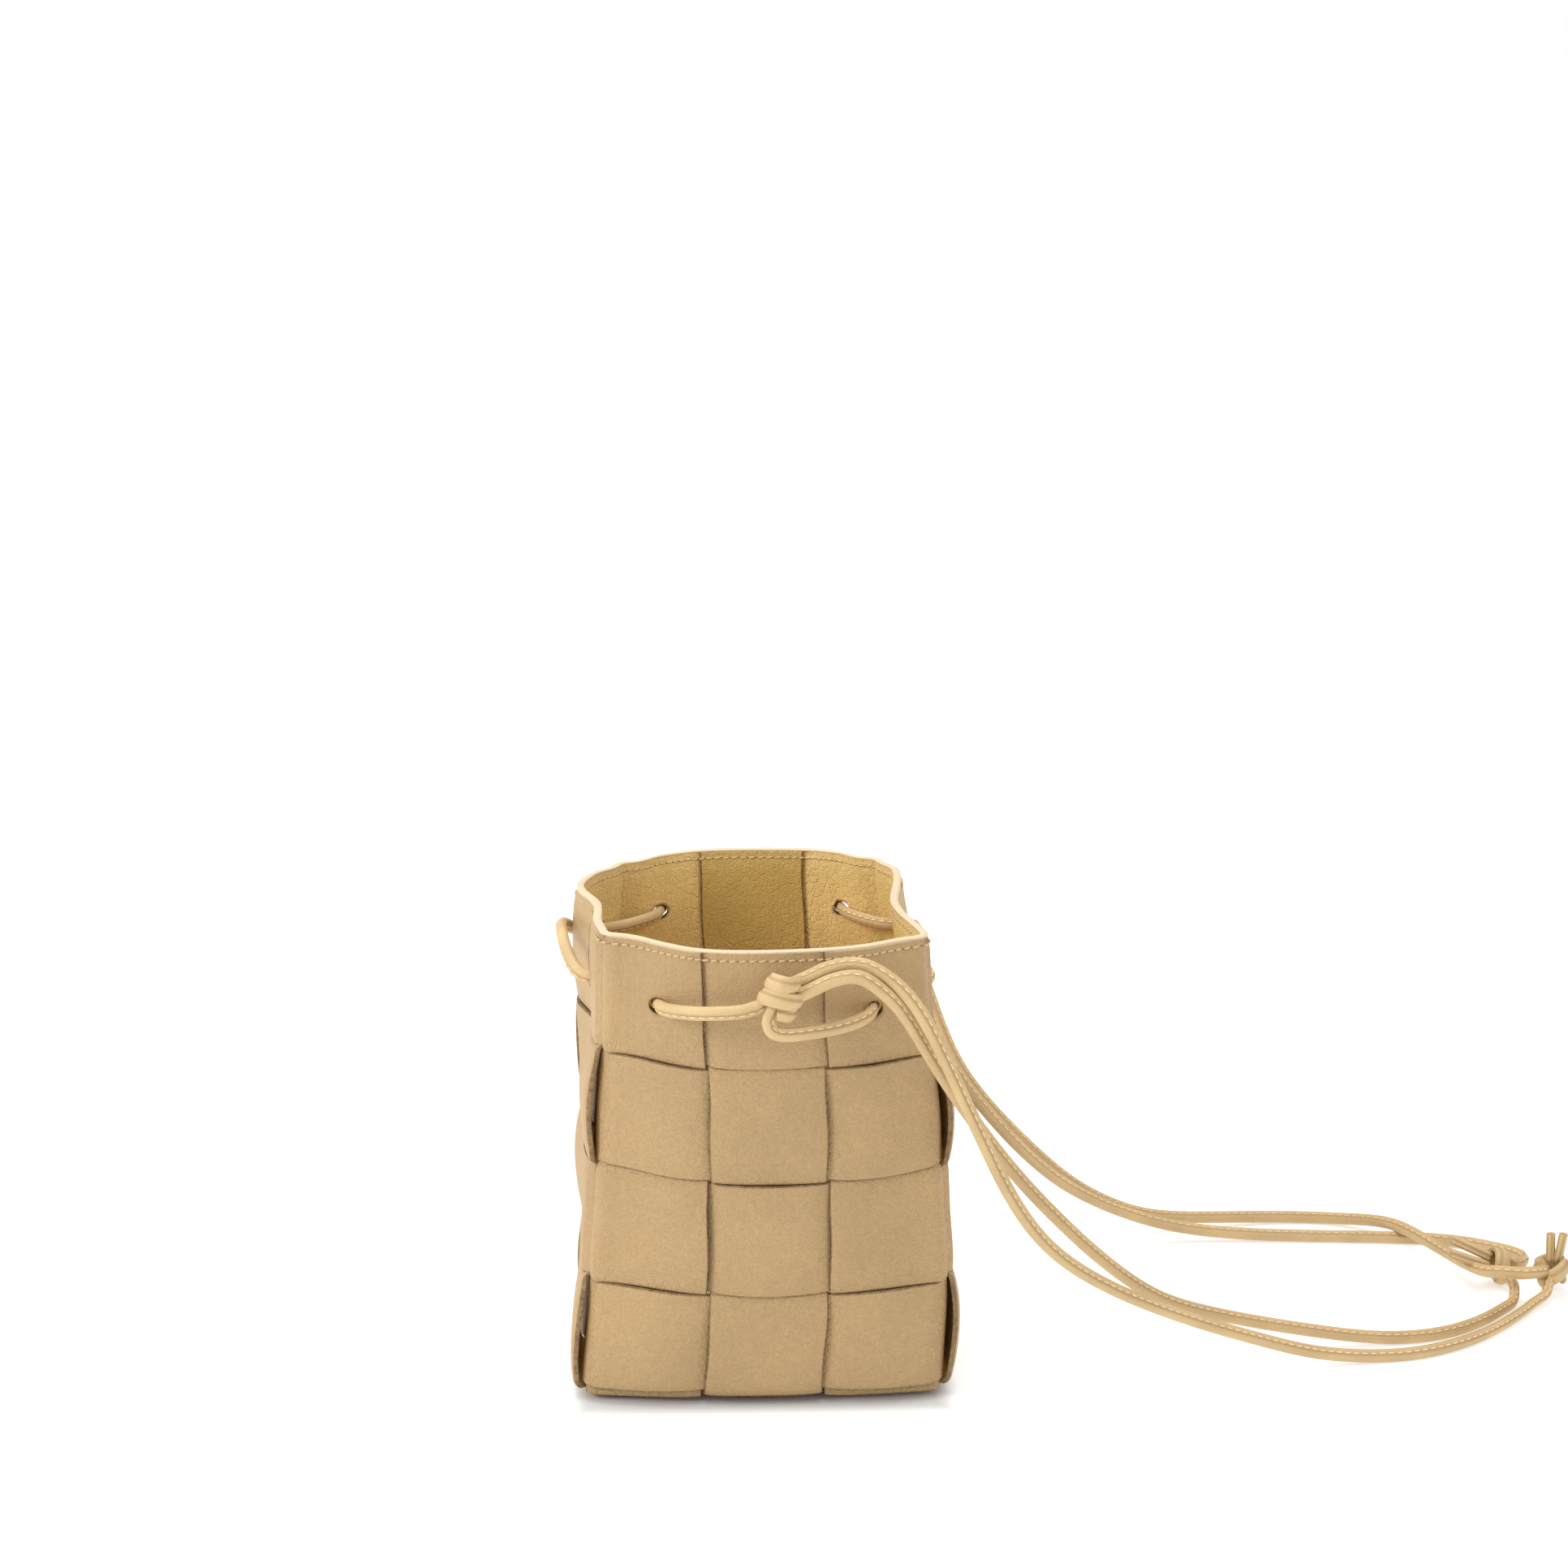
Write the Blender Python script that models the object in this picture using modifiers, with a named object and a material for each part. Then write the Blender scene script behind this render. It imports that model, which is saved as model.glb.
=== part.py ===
"""A small bucket bag woven from wide leather strips, with two drawstring cords that form its strap.

Metres, +Z up. The origin is on the floor under the middle of the bag. The front wall faces -Y.
Six strips run down one wall, under the base and up the other wall. Four bands run round the walls.
Strips and bands pass over and under each other as in a plain weave. Two leather cords run through
eight punched holes below the rim, are gathered by a sliding knot at the front and at the rear, and
end in two tied knots.
"""

import math

import bmesh
import bpy
from mathutils import Matrix, Vector

# Driving dimensions of the woven body
HEIGHT = 0.170
COLUMN_PITCH = 0.0428
ROW_PITCH = 0.0425
LEATHER = 0.0020
LAYER_GAP = 0.0006
STRIP_SPACING = 0.0038
DIVE_LENGTH = 0.0026
BOW = 0.0015
EDGE_RADIUS = 0.006
EDGE_WRAP = math.radians(14.0)
COLUMNS = 3
ROWS = 4
CELL_STEPS = 3
ARC_STEPS = 2

# Driving dimensions of the cords and knots
CORD_DIAMETER = 0.0046
HOLE_RADIUS = 0.0034
HOLE_DROP = 0.0225
CUTTER_LENGTH = 0.030
STRAND_SPACING = 0.0050
KNOT_RADIUS = 0.0084
KNOT_GROOVE = 0.0006
KNOT_CLEARANCE = 0.0004
CORD_SIDES_RESOLUTION = 2
STRAP_STEP = 0.0115
MOUTH_STEP = 0.0055

# The sliding knots sit on one axis along Y, which the strap swings about
KNOT_AXIS_X = 0.0063
KNOT_AXIS_Z = 0.1584
KNOT_AXIS_Y = 0.0820
FRONT_LEAD_ANGLE = math.radians(25.0)
REAR_LEAD_ANGLE = math.radians(0.0)
LEAD_BACK = 0.0030
LEAD_LENGTH = 0.0180

# The tied end knots lie on the floor beside the bag
RIGHT_END_KNOT = Vector((0.2930, 0.0270, 0.0084))
LEFT_END_KNOT = Vector((0.3124, 0.0200, 0.0090))
TAIL_LENGTH = 0.0125

# Sizes that follow from the driving dimensions
LAYER_OFFSET = (LEATHER + LAYER_GAP) / 2
BOW_REACH = BOW * max(math.sin(math.pi * i / CELL_STEPS) for i in range(CELL_STEPS))
BASE_Z = LAYER_OFFSET + LEATHER / 2 + BOW_REACH
HALF_SIDE = COLUMNS * COLUMN_PITCH / 2 + EDGE_RADIUS * (1 - math.pi / 4)
FLAT_HALF = HALF_SIDE - EDGE_RADIUS
STRIP_HALF_WIDTH = (COLUMN_PITCH - STRIP_SPACING) / 2
BAND_HALF_WIDTH = (ROW_PITCH - STRIP_SPACING) / 2
CORD_RADIUS = CORD_DIAMETER / 2
KNOT_BORE = STRAND_SPACING / 2 + CORD_RADIUS + KNOT_CLEARANCE
KNOT_REACH = KNOT_RADIUS + KNOT_CLEARANCE

# Soft shape of the open mouth: how far each wall leans in at the rim, as (height, place, width) humps
LEFT_LEAN = (0.0090, ((-0.0090, 0.018, 0.020),))
RIGHT_LEAN = (0.0115, ((0.0040, -0.022, 0.022), (-0.0060, -0.068, 0.014)))
FRONT_LEAN = (-0.0030, ())
REAR_LEAN = (-0.0040, ((0.0130, -0.062, 0.020), (0.0110, 0.062, 0.018)))
LEAN_POWER = 1.3
WALL_BLEND = (0.012, 0.056)

# The front corners stand back from the middle of the front and a little higher, and the belly sways right
FRONT_CORNERS = (0.0, ((0.0120, -0.066, 0.022), (0.0085, 0.070, 0.022)))
CORNER_BLEND = (-0.030, 0.060)
CORNER_RISE = (0.0, 0.060)
CORNER_SHARE_AT_BASE = 0.35
CORNER_LIFT = 0.24
SWAY = 0.0022
SWAY_RISE = (0.0, 0.040)
SWAY_FALL = (0.100, 0.165)

LEATHER_COLOUR = (0.60, 0.44, 0.25, 1.0)
CORD_COLOUR = (0.66, 0.50, 0.29, 1.0)


def smoothstep(low, high, value):
    t = min(1.0, max(0.0, (value - low) / (high - low)))
    return t * t * (3 - 2 * t)


def lean(wall, place):
    """How far a wall leans in at the rim, at a place along it."""
    level, humps = wall
    return level + sum(h * math.exp(-(((place - c) / w) ** 2) / 2) for h, c, w in humps)


def soft_shape(point):
    """Moves a point of the straight-sided bag to its place in the bag that stands open and slack."""
    x, y, z = point
    rise = max(0.0, z / HEIGHT) ** LEAN_POWER
    left = smoothstep(*WALL_BLEND, -x)
    right = smoothstep(*WALL_BLEND, x)
    front = smoothstep(*WALL_BLEND, -y)
    rear = smoothstep(*WALL_BLEND, y)
    dx = rise * (left * lean(LEFT_LEAN, y) - right * lean(RIGHT_LEAN, y))
    dy = rise * (front * lean(FRONT_LEAN, x) - rear * lean(REAR_LEAN, x))
    back = smoothstep(*CORNER_BLEND, -y) * lean(FRONT_CORNERS, x)
    high = smoothstep(*CORNER_RISE, z)
    dx += SWAY * smoothstep(*SWAY_RISE, z) * (1 - smoothstep(*SWAY_FALL, z))
    dy += back * (CORNER_SHARE_AT_BASE + (1 - CORNER_SHARE_AT_BASE) * high)
    return Vector((x + dx, y + dy, z + back * CORNER_LIFT * high))


def rounded_edge(distance, flat):
    """Place and inward drop of a point at an arc distance from the middle of a face with round edges."""
    beyond = abs(distance) - flat
    if beyond <= 0:
        return distance, 0.0
    angle = beyond / EDGE_RADIUS
    place = flat + EDGE_RADIUS * math.sin(angle)
    return math.copysign(place, distance), EDGE_RADIUS * (1 - math.cos(angle))


def strip_profile(length):
    """Place (along, up) and outward normal on the U from one rim, under the base, to the other rim."""
    wall = HEIGHT - BASE_Z - EDGE_RADIUS
    arc = EDGE_RADIUS * math.pi / 2
    half = wall + arc + FLAT_HALF
    sign = -1.0 if length <= half else 1.0
    run = length if length <= half else 2 * half - length
    if run <= wall:
        return Vector((sign * HALF_SIDE, HEIGHT - run)), Vector((sign, 0.0))
    if run <= wall + arc:
        angle = (run - wall) / EDGE_RADIUS
        normal = Vector((sign * math.cos(angle), -math.sin(angle)))
        centre = Vector((sign * FLAT_HALF, BASE_Z + EDGE_RADIUS))
        return centre + EDGE_RADIUS * normal, normal
    along = sign * (FLAT_HALF - (run - wall - arc))
    return Vector((along, BASE_Z)), Vector((0.0, -1.0))


def band_profile(length):
    """Place (x, y) and outward normal on the rounded square, from the middle of the front, anticlockwise."""
    side = 2 * FLAT_HALF
    arc = EDGE_RADIUS * math.pi / 2
    quarter, run = divmod(length + FLAT_HALF, side + arc)
    turn = Matrix.Rotation(quarter * math.pi / 2, 2)
    if run <= side:
        return turn @ Vector((run - FLAT_HALF, -HALF_SIDE)), turn @ Vector((0.0, -1.0))
    angle = (run - side) / EDGE_RADIUS
    normal = Vector((math.sin(angle), -math.cos(angle)))
    return turn @ (Vector((FLAT_HALF, -FLAT_HALF)) + EDGE_RADIUS * normal), turn @ normal


def woven_stations(borders, first_over, closed):
    """(length, offset) along a strip: the outer layer bows out, and the dives lie at the borders."""
    stations = []
    cells = len(borders) - 1
    for k in range(cells):
        start = borders[k] + (DIVE_LENGTH / 2 if k or closed else 0.0)
        end = borders[k + 1] - (DIVE_LENGTH / 2 if k < cells - 1 or closed else 0.0)
        over = (k % 2 == 0) == first_over
        for i in range(CELL_STEPS + 1):
            share = i / CELL_STEPS
            bow = LAYER_OFFSET + BOW * math.sin(math.pi * share)
            stations.append((start + (end - start) * share, bow if over else -LAYER_OFFSET))
    return stations


def with_arc_stations(stations, arc_starts):
    """Adds stations inside the round edges, so that each arc is followed closely."""
    arc = EDGE_RADIUS * math.pi / 2
    wanted = [a + arc * i / ARC_STEPS for a in arc_starts for i in range(ARC_STEPS + 1)]
    lengths = [s[0] for s in stations]
    out = list(stations)
    for at in wanted:
        if min(abs(at - x) for x in lengths) < LEATHER / 4:
            continue
        after = next((i for i, x in enumerate(lengths) if x > at), None)
        if after in (None, 0):
            continue
        (x0, o0), (x1, o1) = stations[after - 1], stations[after]
        out.append((at, o0 + (o1 - o0) * (at - x0) / (x1 - x0)))
    return sorted(out)


def new_object(name, mesh, colour, roughness):
    material = bpy.data.materials.new(name + "_finish")
    material.use_nodes = True
    shader = material.node_tree.nodes["Principled BSDF"]
    shader.inputs["Base Color"].default_value = colour
    shader.inputs["Roughness"].default_value = roughness
    shader.inputs["Metallic"].default_value = 0.0
    mesh.materials.append(material)
    made = bpy.data.objects.new(name, mesh)
    bag.objects.link(made)
    return made


def leather_sheet(name, across, stations, place, closed):
    """A grid bent to place(across, length, offset), given its thickness on both sides of that surface."""
    columns, rows = len(across) - 1, len(stations) - (0 if closed else 1)
    if closed:
        stations = stations + [stations[0]]
    mesh = bpy.data.meshes.new(name)
    bm = bmesh.new()
    bmesh.ops.create_grid(bm, x_segments=columns, y_segments=rows, size=0.5)
    for vert in bm.verts:
        i = round((vert.co.x + 0.5) * columns)
        j = round((vert.co.y + 0.5) * rows)
        vert.co = soft_shape(place(across[i], *stations[j]))
    bmesh.ops.remove_doubles(bm, verts=bm.verts, dist=LEATHER / 20)
    bmesh.ops.recalc_face_normals(bm, faces=bm.faces)
    bm.to_mesh(mesh)
    bm.free()
    mesh.shade_smooth()
    mesh.set_sharp_from_angle(angle=math.radians(50))
    sheet = new_object(name, mesh, LEATHER_COLOUR, 0.55)
    wall = sheet.modifiers.new("leather", "SOLIDIFY")
    wall.thickness = LEATHER
    wall.offset = 0.0
    return sheet


def spread(low, high, bends):
    """Even places across a strip, and the places where its flat part meets a round edge."""
    even = [low + (high - low) * i / CELL_STEPS for i in range(CELL_STEPS + 1)]
    return sorted(even + [b for b in bends if low < b < high])


def strip(name, column, along_y, first_over):
    """One strip from rim to rim: along Y for a front-to-rear strip, along X for a side strip."""
    wall = HEIGHT - BASE_Z - EDGE_RADIUS
    arc = EDGE_RADIUS * math.pi / 2
    fold = wall + arc / 2
    total = 2 * (wall + arc + FLAT_HALF)
    rows = [ROW_PITCH * r for r in range(ROWS)]
    half = rows + [fold, total / 2 - COLUMN_PITCH / 2]
    borders = half + [total - x for x in reversed(half)]
    middle = column * COLUMN_PITCH
    wrap = FLAT_HALF + EDGE_RADIUS * EDGE_WRAP
    low = max(-wrap, middle - STRIP_HALF_WIDTH)
    high = min(wrap, middle + STRIP_HALF_WIDTH)
    across = spread(low, high, (-FLAT_HALF, FLAT_HALF))
    stations = woven_stations(borders, first_over, closed=False)
    stations = with_arc_stations(stations, (wall, total - wall - arc))

    def place(u, length, offset):
        side, drop = rounded_edge(u, FLAT_HALF)
        at, normal = strip_profile(length)
        at = at + (offset - drop) * normal
        return (side, at.x, at.y) if along_y else (-at.x, side, at.y)

    return leather_sheet(name, across, stations, place, closed=False)


def band(name, row):
    """One band round the four walls."""
    side = 2 * FLAT_HALF
    arc = EDGE_RADIUS * math.pi / 2
    pitch = (side + arc) / COLUMNS
    borders = [pitch * (k - 0.5) for k in range(4 * COLUMNS + 1)]
    top = HEIGHT - ROW_PITCH * row - (STRIP_SPACING / 2 if row else 0.0)
    low = HEIGHT - ROW_PITCH * (row + 1) + STRIP_SPACING / 2
    flat_low = BASE_Z + EDGE_RADIUS
    lowest = flat_low - EDGE_RADIUS * EDGE_WRAP
    across = spread(max(low, lowest), top, (flat_low,))
    stations = woven_stations(borders, row % 2 == 0, closed=True)
    stations = with_arc_stations(stations, [FLAT_HALF + (side + arc) * q for q in range(4)])

    def place(height, length, offset):
        below, drop = rounded_edge(max(0.0, flat_low - height), 0.0)
        at, normal = band_profile(length)
        at = at + (offset - drop) * normal
        return (at.x, at.y, flat_low - below if below else height)

    return leather_sheet(name, across, stations, place, closed=True)


def hole_centres():
    """The eight holes below the rim, as (front left, front right, right front, ... left front)."""
    z = HEIGHT - HOLE_DROP
    found = []
    for quarter in range(4):
        turn = Matrix.Rotation(quarter * math.pi / 2, 3, "Z")
        for column in (-1, 1):
            at = turn @ Vector((column * COLUMN_PITCH, -HALF_SIDE, z))
            found.append((soft_shape(at), turn @ Vector((0.0, -1.0, 0.0))))
    return found


def punch(sheet, hole):
    """Cuts one round hole through a layer of leather."""
    centre, normal = hole
    bpy.ops.mesh.primitive_cylinder_add(vertices=12, radius=HOLE_RADIUS, depth=CUTTER_LENGTH)
    cutter = bpy.context.object
    cutter.name = sheet.name + "_punch"
    cutter.matrix_world = Matrix.Translation(centre) @ normal.to_track_quat("Z", "Y").to_matrix().to_4x4()
    for owner in list(cutter.users_collection):
        owner.objects.unlink(cutter)
    cutters.objects.link(cutter)
    cutter.hide_render = True
    cutter.display_type = "WIRE"
    cut = sheet.modifiers.new("hole", "BOOLEAN")
    cut.operation = "DIFFERENCE"
    cut.object = cutter


def smooth_route(points, step):
    """Points about a step apart on a smooth curve through the route's own points."""
    points = [Vector(p) for p in points]
    ends = [2 * points[0] - points[1], *points, 2 * points[-1] - points[-2]]
    out = []
    for i in range(1, len(ends) - 2):
        p0, p1, p2, p3 = ends[i - 1 : i + 3]
        knots = [0.0]
        for a, b in ((p0, p1), (p1, p2), (p2, p3)):
            knots.append(knots[-1] + math.sqrt((b - a).length))
        t0, t1, t2, t3 = knots
        count = max(1, round((p2 - p1).length / step))
        for k in range(count):
            t = t1 + (t2 - t1) * k / count
            a1 = p0.lerp(p1, (t - t0) / (t1 - t0))
            a2 = p1.lerp(p2, (t - t1) / (t2 - t1))
            a3 = p2.lerp(p3, (t - t2) / (t3 - t2))
            b1 = a1.lerp(a2, (t - t0) / (t2 - t0))
            b2 = a2.lerp(a3, (t - t1) / (t3 - t1))
            out.append(b1.lerp(b2, (t - t1) / (t2 - t1)))
    out.append(points[-1])
    return out


def cord(name, route, step):
    """A round leather cord along a route."""
    curve = bpy.data.curves.new(name, "CURVE")
    curve.dimensions = "3D"
    curve.bevel_depth = CORD_RADIUS
    curve.bevel_resolution = CORD_SIDES_RESOLUTION
    curve.use_fill_caps = True
    points = smooth_route(route, step)
    line = curve.splines.new("POLY")
    line.points.add(len(points) - 1)
    for at, point in zip(points, line.points):
        point.co = (*at, 1.0)
    return new_object(name, curve, CORD_COLOUR, 0.5)


def lead(knot, angle, side):
    """The straight start of a strap strand, through its sliding knot and on past it."""
    along = Vector((math.cos(angle), 0.0, math.sin(angle)))
    raised = Vector((-math.sin(angle), 0.0, math.cos(angle)))
    beside = (raised + Vector((0.0, 1.0, 0.0))).normalized() * (side * STRAND_SPACING / 2)
    reaches = (-LEAD_BACK, 0.0, LEAD_LENGTH * 2 / 3, LEAD_LENGTH)
    return [knot + beside + reach * along for reach in reaches]


def at_knot(knot, direction, reach):
    """The last two points of a cord that meets a knot squarely, coming from a direction."""
    away = Vector(direction).normalized()
    return [knot + away * (reach + CORD_DIAMETER), knot + away * reach]


def sliding_knot(name, knot, angle):
    """Two turns of cord round both strands, turned as a grooved ball with a bore along the strands."""
    half = math.sqrt(KNOT_RADIUS**2 - KNOT_BORE**2)
    steps = 8
    profile = []
    for i in range(steps + 1):
        z = half * (1 - 2 * i / steps)
        groove = KNOT_GROOVE * (math.cos(math.pi * z / half) + 1) / 2
        profile.append((math.sqrt(KNOT_RADIUS**2 - z**2) - groove, z))
    profile.append((KNOT_BORE, -half - KNOT_GROOVE / 4))
    profile.append((KNOT_BORE - KNOT_CLEARANCE / 4, 0.0))
    profile.append((KNOT_BORE, half + KNOT_GROOVE / 4))
    made = turned(name, profile, closed=True)
    along = Vector((math.cos(angle), 0.0, math.sin(angle)))
    made.matrix_world = Matrix.Translation(knot) @ along.to_track_quat("Z", "Y").to_matrix().to_4x4()
    return made


def end_knot(name, knot):
    """A tied overhand knot: a grooved ball that stands on the floor."""
    steps = 8
    profile = []
    for i in range(steps + 1):
        angle = math.pi * i / steps
        groove = KNOT_GROOVE * math.exp(-((angle - math.pi / 2) / 0.25) ** 2)
        profile.append(((KNOT_RADIUS - groove) * math.sin(angle), KNOT_RADIUS * math.cos(angle)))
    made = turned(name, profile, closed=False)
    made.matrix_world = Matrix.Translation(knot)
    return made


def turned(name, profile, closed):
    """A profile at +X, turned about Z."""
    mesh = bpy.data.meshes.new(name)
    bm = bmesh.new()
    verts = [bm.verts.new((r, 0.0, z)) for r, z in profile]
    for a, b in zip(verts, verts[1:] + (verts[:1] if closed else [])):
        bm.edges.new((a, b))
    bm.to_mesh(mesh)
    bm.free()
    made = new_object(name, mesh, CORD_COLOUR, 0.5)
    screw = made.modifiers.new("turn", "SCREW")
    screw.axis = "Z"
    screw.steps = 14
    screw.render_steps = 14
    screw.use_merge_vertices = True
    screw.merge_threshold = 0.00005
    screw.use_smooth_shade = True
    return made


def tail(name, knot, direction, beside):
    """The short free end of a cord beyond its tied knot."""
    along = Vector(direction).normalized()
    aside = Vector(beside)
    start = knot + aside + along * KNOT_REACH
    return cord(name, [start, start + along * TAIL_LENGTH], TAIL_LENGTH / 2)


def mouth_route(first, front, outside, rear, last, holes):
    """From the front knot, in and out through four holes along one side, to the rear knot."""
    step_in = 3 * CORD_RADIUS
    points = [*reversed(first), *front]
    signs = (1, -1, -1, 1, 1, -1, -1, 1)
    order = (0, 0, 1, 1, 2, 2, 3, 3)
    for k, (sign, hole) in enumerate(zip(signs, order)):
        centre, normal = holes[hole]
        points.append(centre + sign * step_in * normal)
        if k % 2 == 0:
            points.append(centre)
        if k == 3:
            points += outside
    return points + [*rear, *last]


def add_strips():
    sheets = {}
    for column, side in ((-1, "left"), (0, "centre"), (1, "right")):
        name = "front_to_rear_strip_" + side
        sheets[name] = strip(name, column, along_y=True, first_over=column != 0)
    for column, side in ((-1, "front"), (0, "middle"), (1, "rear")):
        name = "side_to_side_strip_" + side
        sheets[name] = strip(name, column, along_y=False, first_over=column == 0)
    for row, level in enumerate(("rim", "upper", "lower", "base")):
        sheets["woven_band_" + level] = band("woven_band_" + level, row)
    return sheets


def punch_holes(sheets, holes):
    layers = (
        ("front_to_rear_strip_left", (0, 5)),
        ("front_to_rear_strip_right", (1, 4)),
        ("side_to_side_strip_front", (2, 7)),
        ("side_to_side_strip_rear", (3, 6)),
        ("woven_band_rim", range(8)),
    )
    for name, numbers in layers:
        for number in numbers:
            punch(sheets[name], holes[number])


def add_cords(holes):
    front = Vector((KNOT_AXIS_X, -KNOT_AXIS_Y, KNOT_AXIS_Z))
    rear = Vector((KNOT_AXIS_X, KNOT_AXIS_Y, KNOT_AXIS_Z))
    sliding_knot("front_sliding_knot", front, FRONT_LEAD_ANGLE)
    sliding_knot("rear_sliding_knot", rear, REAR_LEAD_ANGLE)
    end_knot("left_cord_end_knot", LEFT_END_KNOT)
    end_knot("right_cord_end_knot", RIGHT_END_KNOT)

    reach = KNOT_REACH + KNOT_CLEARANCE
    left_holes = [holes[0], holes[7], holes[6], holes[5]]
    right_holes = [holes[1], holes[2], holes[3], holes[4]]
    cord(
        "left_cord_at_mouth",
        mouth_route(
            at_knot(front, (-0.82, 0.24, -0.52), reach),
            [(-0.0100, -0.0790, 0.1516), (-0.0217, -0.0770, 0.1506)],
            [(-0.0695, -0.0200, 0.1572), (-0.0714, -0.0060, 0.1588), (-0.0724, 0.0100, 0.1580)],
            [(-0.0217, 0.0790, 0.1506), (-0.0100, 0.0800, 0.1525)],
            at_knot(rear, (-0.90, -0.20, -0.40), reach),
            left_holes,
        ),
        MOUTH_STEP,
    )
    cord(
        "right_cord_at_mouth",
        mouth_route(
            at_knot(front, (-0.50, -0.30, -0.81), reach),
            [
                (0.0030, -0.0858, 0.1450),
                (0.0115, -0.0845, 0.1456),
                (0.0219, -0.0815, 0.1459),
                (0.0320, -0.0768, 0.1468),
            ],
            [(0.0602, -0.0100, 0.1500), (0.0614, 0.0100, 0.1500)],
            [(0.0260, 0.0800, 0.1445), (0.0130, 0.0840, 0.1440)],
            at_knot(rear, (0.0, 0.30, -0.95), reach),
            right_holes,
        ),
        MOUTH_STEP,
    )

    left_front = lead(front, FRONT_LEAD_ANGLE, 1)
    left_front += LEFT_FRONT_ROUTE
    left_front += at_knot(LEFT_END_KNOT, (-0.43, -0.83, -0.35), KNOT_REACH)
    cord("left_cord_front_strand", left_front, STRAP_STEP)

    right_front = lead(front, FRONT_LEAD_ANGLE, -1)
    right_front += RIGHT_FRONT_ROUTE
    right_front += at_knot(RIGHT_END_KNOT, (0.18, -0.97, -0.18), KNOT_REACH)
    cord("right_cord_front_strand", right_front, STRAP_STEP)

    left_rear = lead(rear, REAR_LEAD_ANGLE, 1)
    left_rear += LEFT_REAR_ROUTE
    left_rear += at_knot(LEFT_END_KNOT, (-0.78, -0.59, 0.20), KNOT_REACH)
    cord("left_cord_rear_strand", left_rear, STRAP_STEP)

    right_rear = lead(rear, REAR_LEAD_ANGLE, -1)
    right_rear += RIGHT_REAR_ROUTE
    right_rear += at_knot(RIGHT_END_KNOT, (0.81, 0.56, -0.19), KNOT_REACH)
    cord("right_cord_rear_strand", right_rear, STRAP_STEP)

    half = STRAND_SPACING / 2
    tail("left_cord_front_tail", LEFT_END_KNOT, (0.06, 0.0, 1.0), (half, 0.0, 0.0))
    tail("left_cord_rear_tail", LEFT_END_KNOT, (-0.06, 0.0, 1.0), (-half, 0.0, 0.0))
    tail("right_cord_front_tail", RIGHT_END_KNOT, (-0.84, -0.08, 0.54), (0.0, -half, 0.0))
    tail("right_cord_rear_tail", RIGHT_END_KNOT, (-0.84, 0.08, 0.54), (0.0, half, 0.0))


# Routes of the strap strands, from the sliding knots down to the floor and along it to the end knots
LEFT_FRONT_ROUTE = [
    (0.0365, -0.0815, 0.1702),
    (0.0459, -0.0840, 0.1644),
    (0.0562, -0.0860, 0.1491),
    (0.0638, -0.0870, 0.1319),
    (0.0733, -0.0865, 0.1116),
    (0.0815, -0.0840, 0.0927),
    (0.0902, -0.0810, 0.0764),
    (0.0993, -0.0775, 0.0637),
    (0.1086, -0.0740, 0.0547),
    (0.1273, -0.0670, 0.0414),
    (0.1462, -0.0605, 0.0308),
    (0.1655, -0.0540, 0.0212),
    (0.1848, -0.0485, 0.0132),
    (0.2042, -0.0440, 0.0058),
    (0.2231, -0.0407, 0.0027),
    (0.2416, -0.0398, 0.0026),
    (0.2560, -0.0340, 0.0026),
    (0.2734, -0.0235, 0.0026),
    (0.2933, -0.0042, 0.0028),
    (0.3000, 0.0030, 0.0033),
]
RIGHT_FRONT_ROUTE = [
    (0.0342, -0.0865, 0.1672),
    (0.0431, -0.0855, 0.1602),
    (0.0518, -0.0825, 0.1456),
    (0.0635, -0.0795, 0.1248),
    (0.0744, -0.0770, 0.1086),
    (0.0892, -0.0710, 0.0875),
    (0.1044, -0.0640, 0.0691),
    (0.1199, -0.0565, 0.0516),
    (0.1396, -0.0470, 0.0331),
    (0.1495, -0.0425, 0.0261),
    (0.1690, -0.0360, 0.0182),
    (0.1885, -0.0310, 0.0119),
    (0.2078, -0.0275, 0.0071),
    (0.2267, -0.0258, 0.0034),
    (0.2448, -0.0255, 0.0026),
    (0.2651, -0.0190, 0.0026),
    (0.2845, -0.0035, 0.0026),
    (0.2930, 0.0060, 0.0030),
]
LEFT_REAR_ROUTE = [
    (0.0400, 0.0845, 0.1570),
    (0.0560, 0.0850, 0.1430),
    (0.0660, 0.0820, 0.1220),
    (0.0725, 0.0755, 0.1030),
    (0.0785, 0.0705, 0.0870),
    (0.0850, 0.0690, 0.0745),
    (0.0922, 0.0685, 0.0658),
    (0.1022, 0.0688, 0.0542),
    (0.1194, 0.0715, 0.0363),
    (0.1299, 0.0740, 0.0264),
    (0.1405, 0.0775, 0.0190),
    (0.1622, 0.0845, 0.0077),
    (0.1835, 0.0880, 0.0052),
    (0.2040, 0.0915, 0.0036),
    (0.2253, 0.0935, 0.0026),
    (0.2440, 0.0910, 0.0026),
    (0.2560, 0.0840, 0.0045),
    (0.2612, 0.0775, 0.0070),
    (0.2655, 0.0692, 0.0084),
    (0.2705, 0.0580, 0.0072),
    (0.2785, 0.0440, 0.0064),
    (0.2806, 0.0290, 0.0078),
    (0.2832, 0.0180, 0.0100),
    (0.2895, 0.0120, 0.0122),
    (0.2975, 0.0110, 0.0120),
]
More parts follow.
